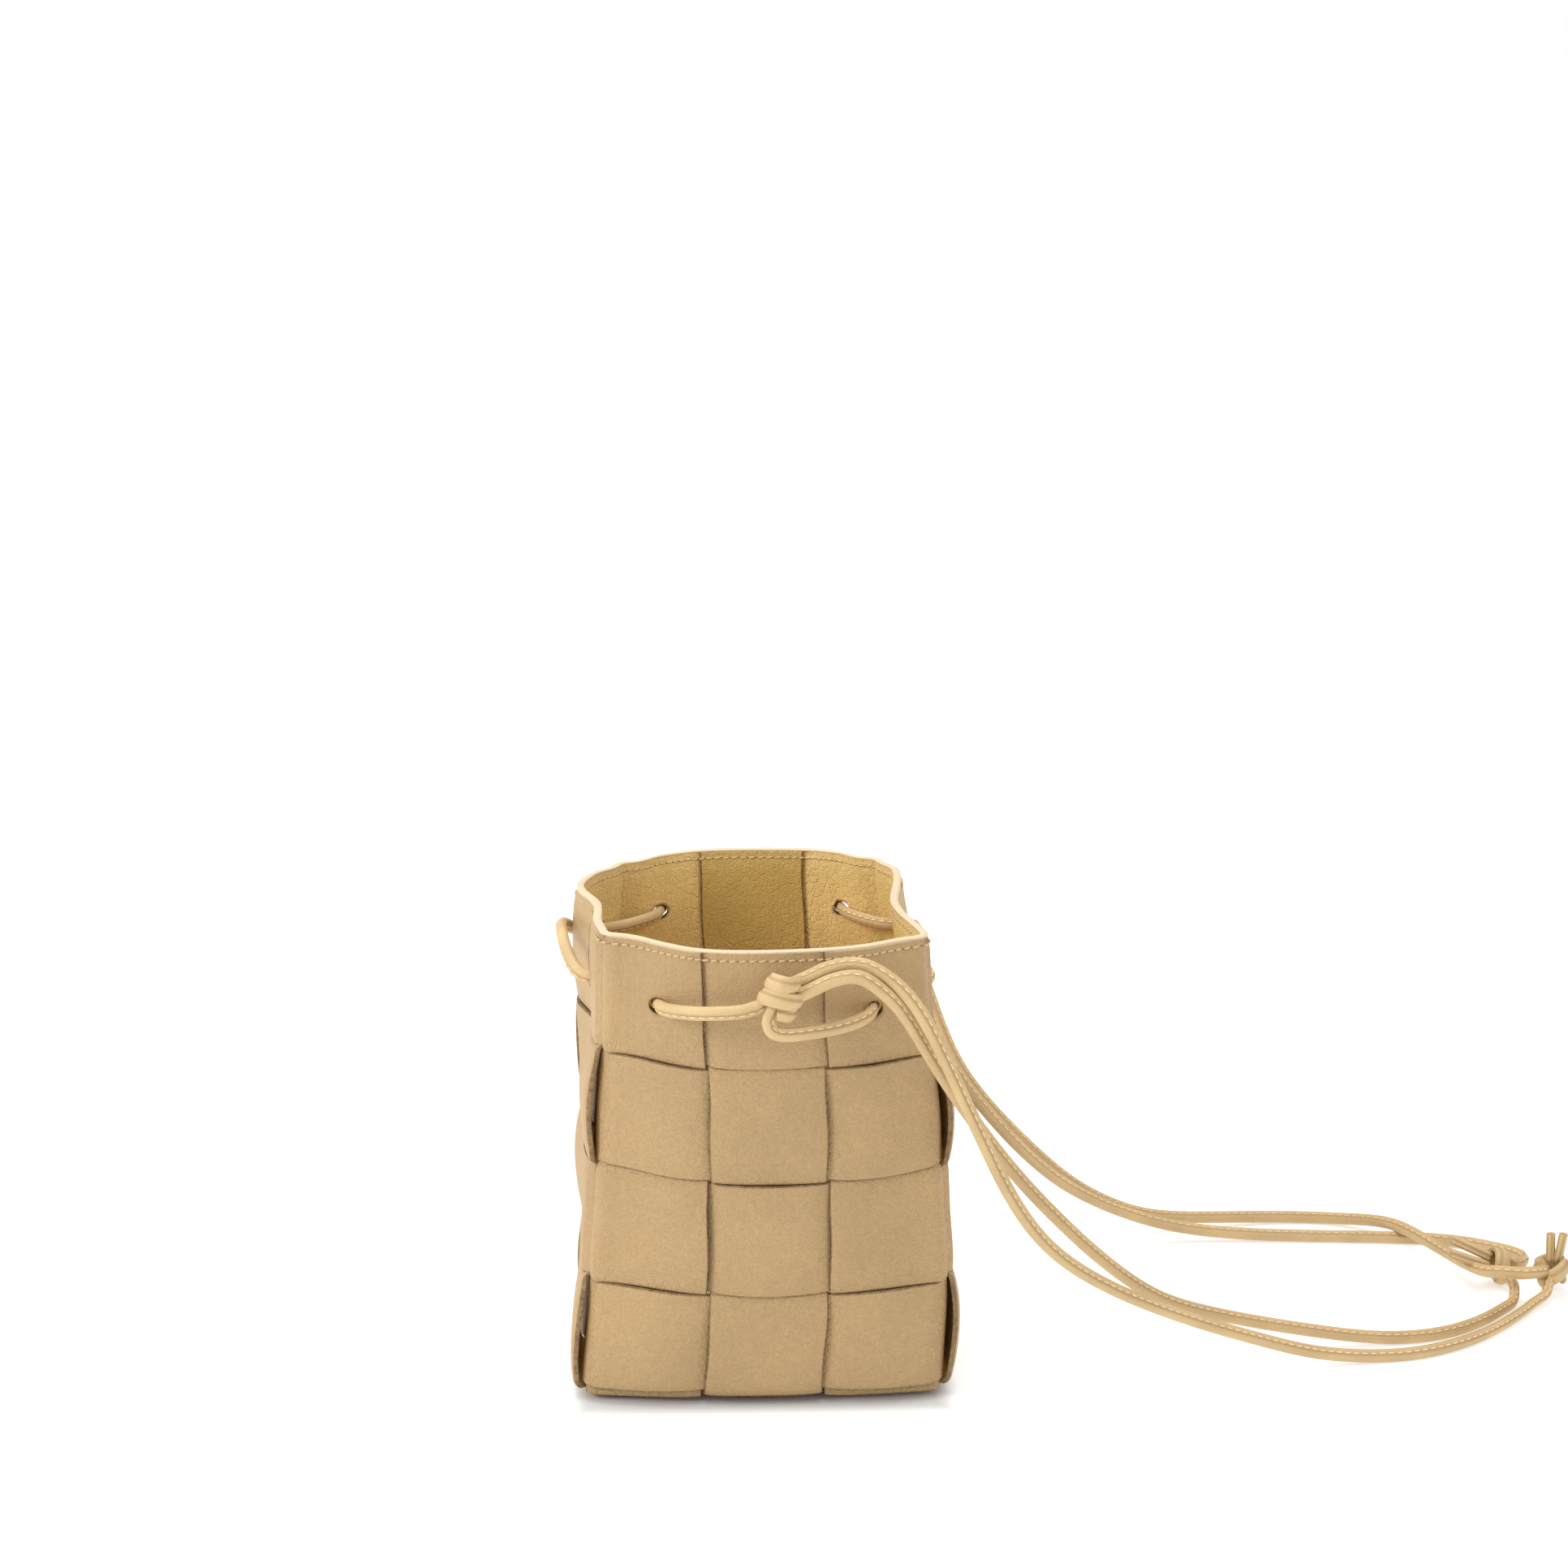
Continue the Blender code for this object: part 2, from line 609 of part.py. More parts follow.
RIGHT_REAR_ROUTE = [
    (0.0400, 0.0792, 0.1530),
    (0.0560, 0.0785, 0.1380),
    (0.0650, 0.0745, 0.1170),
    (0.0710, 0.0675, 0.1000),
    (0.0765, 0.0625, 0.0865),
    (0.0835, 0.0612, 0.0750),
    (0.0914, 0.0610, 0.0654),
    (0.1014, 0.0612, 0.0529),
    (0.1183, 0.0635, 0.0356),
    (0.1288, 0.0660, 0.0273),
    (0.1393, 0.0690, 0.0207),
    (0.1604, 0.0740, 0.0103),
    (0.1811, 0.0752, 0.0050),
    (0.2010, 0.0745, 0.0032),
    (0.2208, 0.0736, 0.0026),
    (0.2406, 0.0720, 0.0026),
    (0.2603, 0.0704, 0.0026),
    (0.2798, 0.0680, 0.0026),
    (0.2955, 0.0620, 0.0026),
    (0.3056, 0.0530, 0.0032),
    (0.3085, 0.0440, 0.0042),
]

for old in list(bpy.data.objects):
    bpy.data.objects.remove(old)
bag = bpy.data.collections.new("bucket_bag")
cutters = bpy.data.collections.new("cutters")
for made in (bag, cutters):
    bpy.context.scene.collection.children.link(made)

punched = hole_centres()
punch_holes(add_strips(), punched)
add_cords(punched)
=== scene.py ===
"""A small bucket bag woven from wide leather strips, with drawstring cords that form its strap."""

import math

import bmesh
import bpy
import numpy as np
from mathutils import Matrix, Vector


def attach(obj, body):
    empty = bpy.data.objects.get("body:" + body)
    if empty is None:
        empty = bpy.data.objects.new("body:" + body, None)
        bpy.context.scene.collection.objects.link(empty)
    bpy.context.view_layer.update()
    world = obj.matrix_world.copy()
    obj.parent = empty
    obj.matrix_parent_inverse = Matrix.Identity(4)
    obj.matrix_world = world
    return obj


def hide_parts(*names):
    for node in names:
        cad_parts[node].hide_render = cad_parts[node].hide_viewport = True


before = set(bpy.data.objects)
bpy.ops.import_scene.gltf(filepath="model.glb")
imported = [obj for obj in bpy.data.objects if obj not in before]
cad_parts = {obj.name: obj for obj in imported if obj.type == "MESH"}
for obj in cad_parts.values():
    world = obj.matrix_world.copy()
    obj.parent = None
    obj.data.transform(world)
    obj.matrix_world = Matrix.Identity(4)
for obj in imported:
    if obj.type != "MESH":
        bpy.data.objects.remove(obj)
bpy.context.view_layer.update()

bl_info = {
    "name": "Woven bucket bag",
    "version": (1, 0, 0),
    "blender": (4, 5, 0),
    "location": "3D View > Sidebar > Bag",
    "description": "Builds the leather, cords, knots and stitches of a woven bucket bag on its CAD frame",
    "category": "Object",
}

TAU = 2 * math.pi

# Soft shape of the open mouth, as in the CAD: (level, humps of (height, place, width)) per wall
LEANS = {
    "left": (0.0090, ((-0.0090, 0.018, 0.020),)),
    "right": (0.0115, ((0.0040, -0.022, 0.022), (-0.0060, -0.068, 0.014))),
    "front": (-0.0030, ()),
    "front corners": (0.0, ((0.0120, -0.066, 0.022), (0.0085, 0.070, 0.022))),
    "rear": (-0.0040, ((0.0130, -0.062, 0.020), (0.0110, 0.062, 0.018))),
}
LEAN_POWER = 1.3
WALL_BLEND = (0.012, 0.056)
MIDDLE_SHIFT = 0.0022
REAR_CORNER_PULL = 0.0055
FRONT_CORNER_PULL = 0.0022
CORNER_RISE = 0.24
DENT_DEPTH = 0.0009

# Woven leather: how a strip's cut edges curl, how far the creases and painted shade by its dives reach, and
# how its end is pressed at the rim
EDGE_CURL = 0.0006
DIVE_SHADE_AND_CREASE_REACH = 0.0030
SIGN_CHANGE = 0.006
DIVE_STEPS = (-0.0026, -0.0019, -0.0012, -0.0006, 0.0006, 0.0012, 0.0019, 0.0026)
END_STEPS = (0.00006, 0.00025, 0.0006)
RIM_PRESS = 0.32
RIM_PRESS_DEPTH = 0.007

# Holes below the rim, and how far a cord runs straight on each side of one
HOLE_DROP = 0.0225
HOLE_RADIUS = 0.0030
PUNCH_REACH = 0.014
HOLE_STEP = 0.0054
HOLE_USERS = {
    "front_to_rear_strip_left": (0, 5),
    "front_to_rear_strip_right": (1, 4),
    "side_to_side_strip_front": (2, 7),
    "side_to_side_strip_rear": (3, 6),
    "woven_band_rim": (0, 1, 2, 3, 4, 5, 6, 7),
}

# Rim: half the width of its painted edge, then (side, distance from the weave's middle, slant) of each seam
RIM_HALF_WIDTH = 0.00145
RIM_SEAMS = (("outside", 0.00186, 0.14), ("inside", -0.00160, -0.14))
RIM_STITCH_RADIUS = 0.00040
PRICK_LENGTH = 0.0013
PRICK_RADIUS = 0.00030
PRICK_DEPTH = 0.00008

# Cord stitches: place across the cord and above its middle, as shares of its width and height
CORD_STITCH_ACROSS = 0.25
CORD_STITCH_ABOVE = 0.300
CORD_STITCH_RADIUS = 0.00030

# Centres of the sliding knots and of the end knots
FRONT_KNOT = np.array((0.0063, -0.0820, 0.1584))
REAR_KNOT = np.array((0.0063, 0.0820, 0.1584))
LEFT_END_KNOT = np.array((0.3124, 0.0200, 0.0090))
RIGHT_END_KNOT = np.array((0.2930, 0.0270, 0.0084))
FRONT_LEAD = math.radians(25.0)
REAR_LEAD = 0.0
KNOT_SLANT = math.radians(38.0)
LEFT_WRAP = 1.88
RIGHT_WRAP = 2.65
STRAND_SPACING = 0.0050
KNOT_REACH = 0.0088

# Knots: (turns, radius, pitch) of the wrapped cord and its (width, height) against the plain cord
SLIDING_WRAP = (2.1, 0.0060, 0.0056)
SLIDING_WRAP_SCALE = (1.25, 0.82)
END_WRAP = (1.6, 0.0050, 0.0058)
END_WRAP_SCALE = (1.30, 0.95)
TAIL_SCALE = (0.86, 0.90)
TAIL_ROLL = 0.6

# How the bends are eased: (spread, held ends), counted in points of the path
MOUTH_EASE = (2.9, 5.0)
STRAND_EASE = (6.0, 26.0)

# Direction in which a cord's upper face starts
FIRST_LIFT = np.array((0.0, -1.0, 0.35))

# Tails: end knot, direction, place beside the knot's middle, length
TAILS = {
    "left_cord_front_tail": (LEFT_END_KNOT, (0.12, -0.05, 1.0), (0.0011, 0.0, 0.0), 0.0115),
    "left_cord_rear_tail": (LEFT_END_KNOT, (-0.03, 0.05, 1.0), (-0.0011, 0.0, 0.0), 0.0110),
    "right_cord_front_tail": (RIGHT_END_KNOT, (-0.92, -0.10, 0.37), (-0.0006, -0.0008, -0.0013), 0.0172),
    "right_cord_rear_tail": (RIGHT_END_KNOT, (-0.90, 0.05, 0.43), (0.0006, 0.0008, 0.0013), 0.0172),
}

# Routes of the strap strands, from the sliding knots to the end knots
LEFT_FRONT_ROUTE = [
    (0.0365, -0.0815, 0.1702),
    (0.0459, -0.0840, 0.1644),
    (0.0562, -0.0860, 0.1491),
    (0.0638, -0.0870, 0.1319),
    (0.0733, -0.0865, 0.1116),
    (0.0815, -0.0840, 0.0927),
    (0.0902, -0.0810, 0.0764),
    (0.0993, -0.0775, 0.0637),
    (0.1086, -0.0740, 0.0547),
    (0.1273, -0.0670, 0.0414),
    (0.1462, -0.0605, 0.0308),
    (0.1655, -0.0540, 0.0212),
    (0.1848, -0.0485, 0.0132),
    (0.2042, -0.0440, 0.0058),
    (0.2231, -0.0407, 0.0027),
    (0.2416, -0.0398, 0.0026),
    (0.2560, -0.0340, 0.0026),
    (0.2734, -0.0235, 0.0026),
    (0.2933, -0.0042, 0.0028),
    (0.3000, 0.0030, 0.0033),
]
RIGHT_FRONT_ROUTE = [
    (0.0342, -0.0865, 0.1672),
    (0.0431, -0.0855, 0.1602),
    (0.0518, -0.0825, 0.1456),
    (0.0635, -0.0795, 0.1248),
    (0.0744, -0.0770, 0.1086),
    (0.0892, -0.0710, 0.0875),
    (0.1044, -0.0640, 0.0691),
    (0.1199, -0.0565, 0.0516),
    (0.1396, -0.0470, 0.0331),
    (0.1495, -0.0425, 0.0261),
    (0.1690, -0.0360, 0.0182),
    (0.1885, -0.0310, 0.0119),
    (0.2078, -0.0275, 0.0071),
    (0.2267, -0.0258, 0.0034),
    (0.2448, -0.0255, 0.0026),
    (0.2651, -0.0190, 0.0026),
    (0.2845, -0.0035, 0.0026),
    (0.2930, 0.0060, 0.0030),
]
LEFT_REAR_ROUTE = [
    (0.0400, 0.0845, 0.1570),
    (0.0560, 0.0850, 0.1430),
    (0.0660, 0.0820, 0.1220),
    (0.0725, 0.0755, 0.1030),
    (0.0785, 0.0705, 0.0870),
    (0.0850, 0.0690, 0.0745),
    (0.0922, 0.0685, 0.0658),
    (0.1022, 0.0688, 0.0542),
    (0.1194, 0.0715, 0.0363),
    (0.1299, 0.0740, 0.0264),
    (0.1405, 0.0775, 0.0190),
    (0.1622, 0.0845, 0.0077),
    (0.1835, 0.0880, 0.0052),
    (0.2040, 0.0915, 0.0036),
    (0.2253, 0.0935, 0.0026),
    (0.2440, 0.0910, 0.0026),
    (0.2560, 0.0840, 0.0045),
    (0.2612, 0.0775, 0.0070),
    (0.2655, 0.0692, 0.0084),
    (0.2705, 0.0580, 0.0072),
    (0.2785, 0.0440, 0.0064),
    (0.2806, 0.0290, 0.0078),
    (0.2832, 0.0180, 0.0100),
    (0.2895, 0.0120, 0.0122),
    (0.2975, 0.0110, 0.0120),
]
RIGHT_REAR_ROUTE = [
    (0.0400, 0.0792, 0.1530),
    (0.0560, 0.0785, 0.1380),
    (0.0650, 0.0745, 0.1170),
    (0.0710, 0.0675, 0.1000),
    (0.0765, 0.0625, 0.0865),
    (0.0835, 0.0612, 0.0750),
    (0.0914, 0.0610, 0.0654),
    (0.1014, 0.0612, 0.0529),
    (0.1183, 0.0635, 0.0356),
    (0.1288, 0.0660, 0.0273),
    (0.1393, 0.0690, 0.0207),
    (0.1604, 0.0740, 0.0103),
    (0.1811, 0.0752, 0.0050),
    (0.2010, 0.0745, 0.0032),
    (0.2208, 0.0736, 0.0026),
    (0.2406, 0.0720, 0.0026),
    (0.2603, 0.0704, 0.0026),
    (0.2798, 0.0680, 0.0026),
    (0.2955, 0.0620, 0.0026),
    (0.3056, 0.0530, 0.0032),
    (0.3085, 0.0440, 0.0042),
]


def length_prop(name, description, default):
    return bpy.props.FloatProperty(
        name=name,
        description=description,
        default=default,
        min=0.0,
        precision=5,
        unit="LENGTH",
        subtype="DISTANCE",
    )


def colour_prop(name, description, default):
    return bpy.props.FloatVectorProperty(
        name=name, description=description, default=default, size=3, min=0.0, max=1.0, subtype="COLOR"
    )


class BagSizes(bpy.types.PropertyGroup):
    """Sizes of the woven body and its cords."""

    height: length_prop("Height", "Height of the rim above the floor", 0.170)
    column: length_prop("Column pitch", "Width of a woven column", 0.0428)
    row: length_prop("Row pitch", "Height of a woven row", 0.0425)
    leather: length_prop("Leather", "Thickness of a strip", 0.0018)
    layer: length_prop("Layer offset", "Distance of each layer from the middle of the weave", 0.0011)
    spacing: length_prop("Strip spacing", "Gap between neighbouring strips", 0.0010)
    dive: length_prop("Dive", "Length over which a strip passes from one layer to the other", 0.0026)
    dive_shift: length_prop("Dive shift", "How far a dive lies under the edge that crosses it", 0.0008)
    bow: length_prop("Bow", "How far the outer layer bows out between two dives", 0.0021)
    edge_radius: length_prop("Edge radius", "Radius of the corners and of the fold at the base", 0.004)
    side_extra: length_prop("Side extra", "How far a wall stands outside its three columns", 0.0013)
    base: length_prop("Base height", "Height of the middle of the weave in the base", 0.0036)
    cord_width: length_prop("Cord width", "Width of the folded cord", 0.0050)
    cord_height: length_prop("Cord height", "Height of the folded cord", 0.0038)
    stitch_pitch: length_prop("Stitch pitch", "Distance from one stitch to the next", 0.0034)
    rim_seam: length_prop("Rim seam", "Distance of the stitches below the rim", 0.0031)


class BagColours(bpy.types.PropertyGroup):
    """Colours of the leather, its edges and the thread."""

    outside: colour_prop("Outside", "Grain side of the strips", (0.470, 0.312, 0.146))
    inside: colour_prop("Inside", "Inner side of the strips and bands", (0.850, 0.610, 0.240))
    inside_middle: colour_prop("Inside, middle", "Inner side of the middle strip", (0.620, 0.420, 0.128))
    # The cut-edge colour is also used for the painted shade near the dives.
    edge: colour_prop("Cut edge", "Raw edge of the strips", (0.245, 0.158, 0.076))
    rim: colour_prop("Rim edge", "Painted edge of the rim", (0.690, 0.535, 0.345))
    cord: colour_prop("Cord", "Leather of the cords", (0.590, 0.420, 0.208))
    thread: colour_prop("Thread", "Sewing thread", (0.640, 0.465, 0.245))


class Wire:
    """A socket in a material. Arithmetic on wires adds Math nodes, and node() adds any other node."""

    def __init__(self, tree, socket=None):
        self.tree, self.socket = tree, socket

    def node(self, kind, inputs=None, out=0, **settings):
        made = self.tree.nodes.new(kind)
        for key, value in settings.items():
            setattr(made, key, value)
        for key, value in (inputs or {}).items():
            self.feed(made.inputs[key], value)
        return Wire(self.tree, made.outputs[out])

    def feed(self, socket, value):
        if isinstance(value, Wire):
            self.tree.links.new(value.socket, socket)
        else:
            socket.default_value = value

    def math(self, operation, a, b=0.0):
        return self.node("ShaderNodeMath", {0: a, 1: b}, operation=operation)

    def __add__(self, other):
        return self.math("ADD", self, other)

    def __radd__(self, other):
        return self.math("ADD", other, self)

    def __mul__(self, other):
        return self.math("MULTIPLY", self, other)

    def __rmul__(self, other):
        return self.math("MULTIPLY", other, self)

    def ramp(self, low, high):
        """0 at the low value, 1 at the high one, with an even change between them."""
        return self.node("ShaderNodeMapRange", {0: self, 1: low, 2: high}, interpolation_type="SMOOTHSTEP")

    def cells(self, scale):
        """Distance to the edges of round cells, for pebbles and creases."""
        feature = "DISTANCE_TO_EDGE"
        return self.node("ShaderNodeTexVoronoi", {"Vector": self, "Scale": scale}, feature=feature)

    def mix(self, a, b):
        """Colour a where this wire is 0, and b where it is 1."""
        return self.node("ShaderNodeMix", {0: self, 6: a, 7: b}, out=2, data_type="RGBA")


def rgba(colour, gain=1.0):
    """The colour times a gain, at full alpha."""
    return (*(min(1.0, c * gain) for c in colour), 1.0)


def new_material(name):
    """A Principled material, its shader node and a first wire to build from."""
    made = bpy.data.materials.new(name)
    made.use_nodes = True
    return made, made.node_tree.nodes["Principled BSDF"], Wire(made.node_tree)


def noise(start, vector, scale, detail=3.0, rough=0.5):
    return start.node(
        "ShaderNodeTexNoise", {"Vector": vector, "Scale": scale, "Detail": detail, "Roughness": rough}
    )


def attribute(start, name):
    return start.node("ShaderNodeAttribute", out=2, attribute_name=name)


def strip_material():
    """Smooth leather: fine pebbles, creases and painted shade near the dives, raw cut edges and a painted
    rim.
    """
    c = bpy.context.scene.bag_colours
    made, shader, w = new_material("strip_leather")
    spot = w.node("ShaderNodeTexCoord", out=3)
    edge, rim, inner, dive_shade_and_crease = (attribute(w, n) for n in ("edge", "rim", "inner", "dive_shade_and_crease"))
    broad = noise(w, spot, 26.0, 2.0)
    grain = noise(w, spot, 640.0, 3.0, 0.6)
    tone = 0.60 * broad + 0.40 * grain
    outside = tone.ramp(0.32, 0.68).mix(rgba(c.outside, 0.94), rgba(c.outside, 1.06))
    inside = tone.ramp(0.32, 0.68).mix(rgba(c.inside, 0.90), rgba(c.inside, 1.08))
    inside = attribute(w, "shade").mix(inside, rgba(c.inside_middle))
    face = inner.mix(outside, inside)
    # Painted shade: near the dives the face is mixed, in noisy patches, towards the cut-edge brown.
    face = (dive_shade_and_crease * 0.16 * noise(w, spot, 150.0).ramp(0.3, 0.7)).mix(face, rgba(c.edge, 1.5))
    fibre = noise(w, spot, 420.0, 3.0, 0.7)
    raw = fibre.ramp(0.3, 0.7).mix(rgba(c.edge, 0.75), rgba(c.edge, 1.4))
    colour = rim.mix(edge.mix(face, raw), rgba(c.rim))
    w.feed(shader.inputs["Base Color"], colour)
    w.feed(shader.inputs["Roughness"], 0.46 + 0.16 * grain + 0.25 * edge)
    shader.inputs["Specular IOR Level"].default_value = 0.40
    pebbles, creases = spot.cells(1250.0), spot.cells(300.0)
    tall = w.node("ShaderNodeVectorMath", {0: spot, 1: (1.0, 1.0, 0.22)}, operation="MULTIPLY")
    hatch = tall.cells(330.0)
    fold = creases.ramp(0.0, 0.14) * (0.22 + 1.1 * dive_shade_and_crease + 0.3 * inner)
    fold = fold + hatch.ramp(0.0, 0.12) * 0.55 * inner
    ripple = noise(w, spot, 170.0, 3.0, 0.55)
    height = 0.00018 * pebbles.ramp(0.0, 0.4) + 0.00022 * fold + 0.00022 * ripple
    bump = w.node("ShaderNodeBump", {"Strength": 1.0, "Distance": 1.0, "Height": height})
    w.feed(shader.inputs["Normal"], bump)
    return made


def cord_material():
    """The folded leather of the cords, with a raw seam along one side and at the cut ends."""
    c = bpy.context.scene.bag_colours
    made, shader, w = new_material("cord_leather")
    spot = w.node("ShaderNodeTexCoord", out=3)
    seam = attribute(w, "edge")
    broad = noise(w, spot, 60.0, 3.0)
    face = broad.ramp(0.3, 0.7).mix(rgba(c.cord, 0.92), rgba(c.cord, 1.06))
    w.feed(shader.inputs["Base Color"], seam.mix(face, rgba(c.edge, 1.5)))
    w.feed(shader.inputs["Roughness"], 0.42 + 0.15 * noise(w, spot, 700.0) + 0.2 * seam)
    shader.inputs["Specular IOR Level"].default_value = 0.4
    height = 0.00010 * spot.cells(520.0).ramp(0.0, 0.2) + 0.00020 * noise(w, spot, 260.0, 3.0)
    bump = w.node("ShaderNodeBump", {"Strength": 0.7, "Distance": 1.0, "Height": height})
    w.feed(shader.inputs["Normal"], bump)
    return made


def thread_material(name="sewing_thread", gain=1.0):
    """Twisted thread, with its strands shaded by the stitch's own twist."""
    c = bpy.context.scene.bag_colours
    made, shader, w = new_material(name)
    twist = attribute(w, "twist")
    colour = twist.ramp(0.2, 0.8).mix(rgba(c.thread, 0.8 * gain), rgba(c.thread, gain))
    w.feed(shader.inputs["Base Color"], colour)
    shader.inputs["Roughness"].default_value = 0.6
    return made


def plain_material(name, colour, roughness):
    made, shader, _ = new_material(name)
    shader.inputs["Base Color"].default_value = rgba(colour)
    shader.inputs["Roughness"].default_value = roughness
    return made


def cord_thread_material():
    """The same thread as the rim's, made 1.42 times lighter on the cords as painted light."""
    return thread_material("cord_thread", 1.42)


def raw_material():
    return plain_material("cut_leather", bpy.context.scene.bag_colours.edge, 0.8)


def rim_material():
    return plain_material("painted_rim", bpy.context.scene.bag_colours.rim, 0.42)


MATERIALS = {}


def material(name):
    """The finish of that name, made at its first use."""
    makers = {
        "strip": strip_material,
        "cord": cord_material,
        "thread": thread_material,
        "cord thread": cord_thread_material,
        "raw": raw_material,
        "rim": rim_material,
    }
    if name not in MATERIALS:
        MATERIALS[name] = makers[name]()
    return MATERIALS[name]


def smoothstep(low, high, value):
    """0 up to low, 1 from high, and 3 t^2 - 2 t^3 between them."""
    t = np.clip((value - low) / (high - low), 0, 1)
    return t * t * (3 - 2 * t)


def lean(wall, place):
    """How far a wall leans in at the rim: level + sum of h exp(-((place - c) / w)^2 / 2)."""
    level, humps = LEANS[wall]
    return level + sum(h * np.exp(-(((place - c) / w) ** 2) / 2) for h, c, w in humps)


def soft_shape(points):
    """Points of the straight bag moved to the slack open bag:
    p + rise(z) * (wall leans + corner pull) + sideways shift at half height + small dents."""
    sizes = bpy.context.scene.bag_sizes
    x, y, z = points[..., 0], points[..., 1], points[..., 2]
    rise = np.clip(z / sizes.height, 0, None) ** LEAN_POWER
    left, right, front, rear = (smoothstep(*WALL_BLEND, v) for v in (-x, x, -y, y))
    dx = rise * (left * lean("left", y) - right * lean("right", y))
    dy = rise * (front * lean("front", x) - rear * lean("rear", x))
    back = smoothstep(-0.030, 0.060, -y) * lean("front corners", x)
    up = smoothstep(0.0, 0.060, z)
    dx = dx + MIDDLE_SHIFT * smoothstep(0.0, 0.040, z) * (1 - smoothstep(0.100, 0.165, z))
    dy = dy + back * (0.35 + 0.65 * up)
    near_corner = smoothstep(0.040, 0.0655, np.minimum(np.abs(x), np.abs(y)))
    corner = rise * np.where(y > 0, REAR_CORNER_PULL, FRONT_CORNER_PULL) * near_corner
    dx, dy = dx - np.sign(x) * corner, dy - np.sign(y) * corner
    high = smoothstep(0.012, 0.06, z)
    dent_x = DENT_DEPTH * np.sin(63 * y + 41 * z + 0.7) * np.cos(52 * z - 23 * y)
    dent_y = DENT_DEPTH * np.sin(57 * x - 46 * z + 1.9) * np.cos(49 * z + 31 * x)
    dx = dx + high * (right - left) * dent_x
    dy = dy + high * (rear - front) * dent_y
    return np.stack([x + dx, y + dy, z + CORNER_RISE * back * up], axis=-1)


def half_side():
    """Distance from the bag's middle to the middle of a wall's weave."""
    s = bpy.context.scene.bag_sizes
    return 1.5 * s.column + s.side_extra


def strip_profile(length):
    """Place (along, up) and normal on the U: wall, quarter arc, base, quarter arc, wall."""
    s = bpy.context.scene.bag_sizes
    r, side = s.edge_radius, half_side()
    wall = s.height - s.base - r
    arc = r * math.pi / 2
    half = wall + arc + side - r
    sign = np.where(length <= half, -1.0, 1.0)
    run = np.where(length <= half, length, 2 * half - length)
    angle = np.clip((run - wall) / r, 0, math.pi / 2)
    along = sign * (side - r + r * np.cos(angle) - np.clip(run - wall - arc, 0, None))
    up = s.base + r - r * np.sin(angle) + np.clip(wall - run, 0, None)
    return along, up, sign * np.cos(angle), -np.sin(angle)


def band_profile(length):
    """Place (x, y) and normal on a rounded square, anticlockwise from the middle of the front."""
    s = bpy.context.scene.bag_sizes
    r, side = s.edge_radius, half_side()
    flat, arc = side - r, r * math.pi / 2
    quarter = np.floor((length + flat) / (2 * flat + arc))
    run = length + flat - quarter * (2 * flat + arc)
    angle = np.clip((run - 2 * flat) / r, 0, math.pi / 2)
    x = np.minimum(run, 2 * flat) - flat + r * np.sin(angle)
    y = -flat - r * np.cos(angle)
    c, n = np.cos(quarter * math.pi / 2), np.sin(quarter * math.pi / 2)
    nx, ny = np.sin(angle), -np.cos(angle)
    return c * x - n * y, n * x + c * y, c * nx - n * ny, n * nx + c * ny


def rounded_edge(distance, flat, cling=1.0):
    """Place and inward drop at an arc distance from the middle of a face with round edges.
    A cling below 1 lets the edge stand off the round corner."""
    r = bpy.context.scene.bag_sizes.edge_radius
    beyond = np.clip(np.abs(distance) - flat, 0, None)
    angle = np.clip(beyond / r, 0, math.pi / 2)
    past = np.clip(beyond - r * math.pi / 2, 0, None)
    place = np.minimum(np.abs(distance), flat) + (1 - cling) * beyond + cling * r * np.sin(angle)
    return np.sign(distance) * place, cling * (r * (1 - np.cos(angle)) + past)


def weave(length, borders, first_over, closed, bow=1.0):
    """Layer offset along a strip: layer * sign * ease(distance to dive), and on outer cells
    + bow * sin(pi t)^0.6.
    Each dive lies just under the edge of the strip that crosses it.
    Also returns how near a dive is, from 0 to 1, and whether the cell is an outer one."""
    s = bpy.context.scene.bag_sizes
    borders = np.asarray(borders)
    outer = (np.arange(len(borders)) % 2 == 0) == first_over
    dives = borders - s.dive_shift * np.where(outer, 1.0, -1.0)
    inner = dives if closed else dives[1:-1]
    if not closed:
        dives = np.concatenate([borders[:1], inner, borders[-1:]])
    round_length = np.where(length < dives[0], length + borders[-1] - borders[0], length)
    cell = np.clip(np.searchsorted(dives, round_length, side="right") - 1, 0, len(dives) - 2)
    t = (round_length - dives[cell]) / (dives[cell + 1] - dives[cell])
    over = outer[cell]
    near = np.abs(round_length[:, None] - inner[None, :]).min(1)
    ease = np.sin(np.clip(near / (s.dive / 2), 0, 1) * math.pi / 2)
    hump = np.sin(math.pi * np.clip(t, 0, 1)) ** 0.6
    if not closed:
        hump = np.where((cell == 0) | (cell == len(dives) - 2), 0.35 * hump, hump)
    offset = s.layer * ease * np.where(over, 1.0, -1.0) + np.where(over, s.bow * bow * hump, 0.0)
    return offset, np.exp(-near / DIVE_SHADE_AND_CREASE_REACH), over


def smooth_sign(length, borders, first_over):
    """1 in the outer cells and -1 in the inner ones, with an even change between their middles."""
    middles = (borders[:-1] + borders[1:]) / 2
    signs = np.where((np.arange(len(middles)) % 2 == 0) == first_over, 1.0, -1.0)
    cell = np.clip(np.searchsorted(borders, length, side="right") - 1, 0, len(borders) - 2)
    near = np.minimum(np.abs(length - borders[cell]), np.abs(length - borders[cell + 1]))
    return signs[cell] * np.sin(np.clip(near / SIGN_CHANGE, 0, 1) * math.pi / 2)


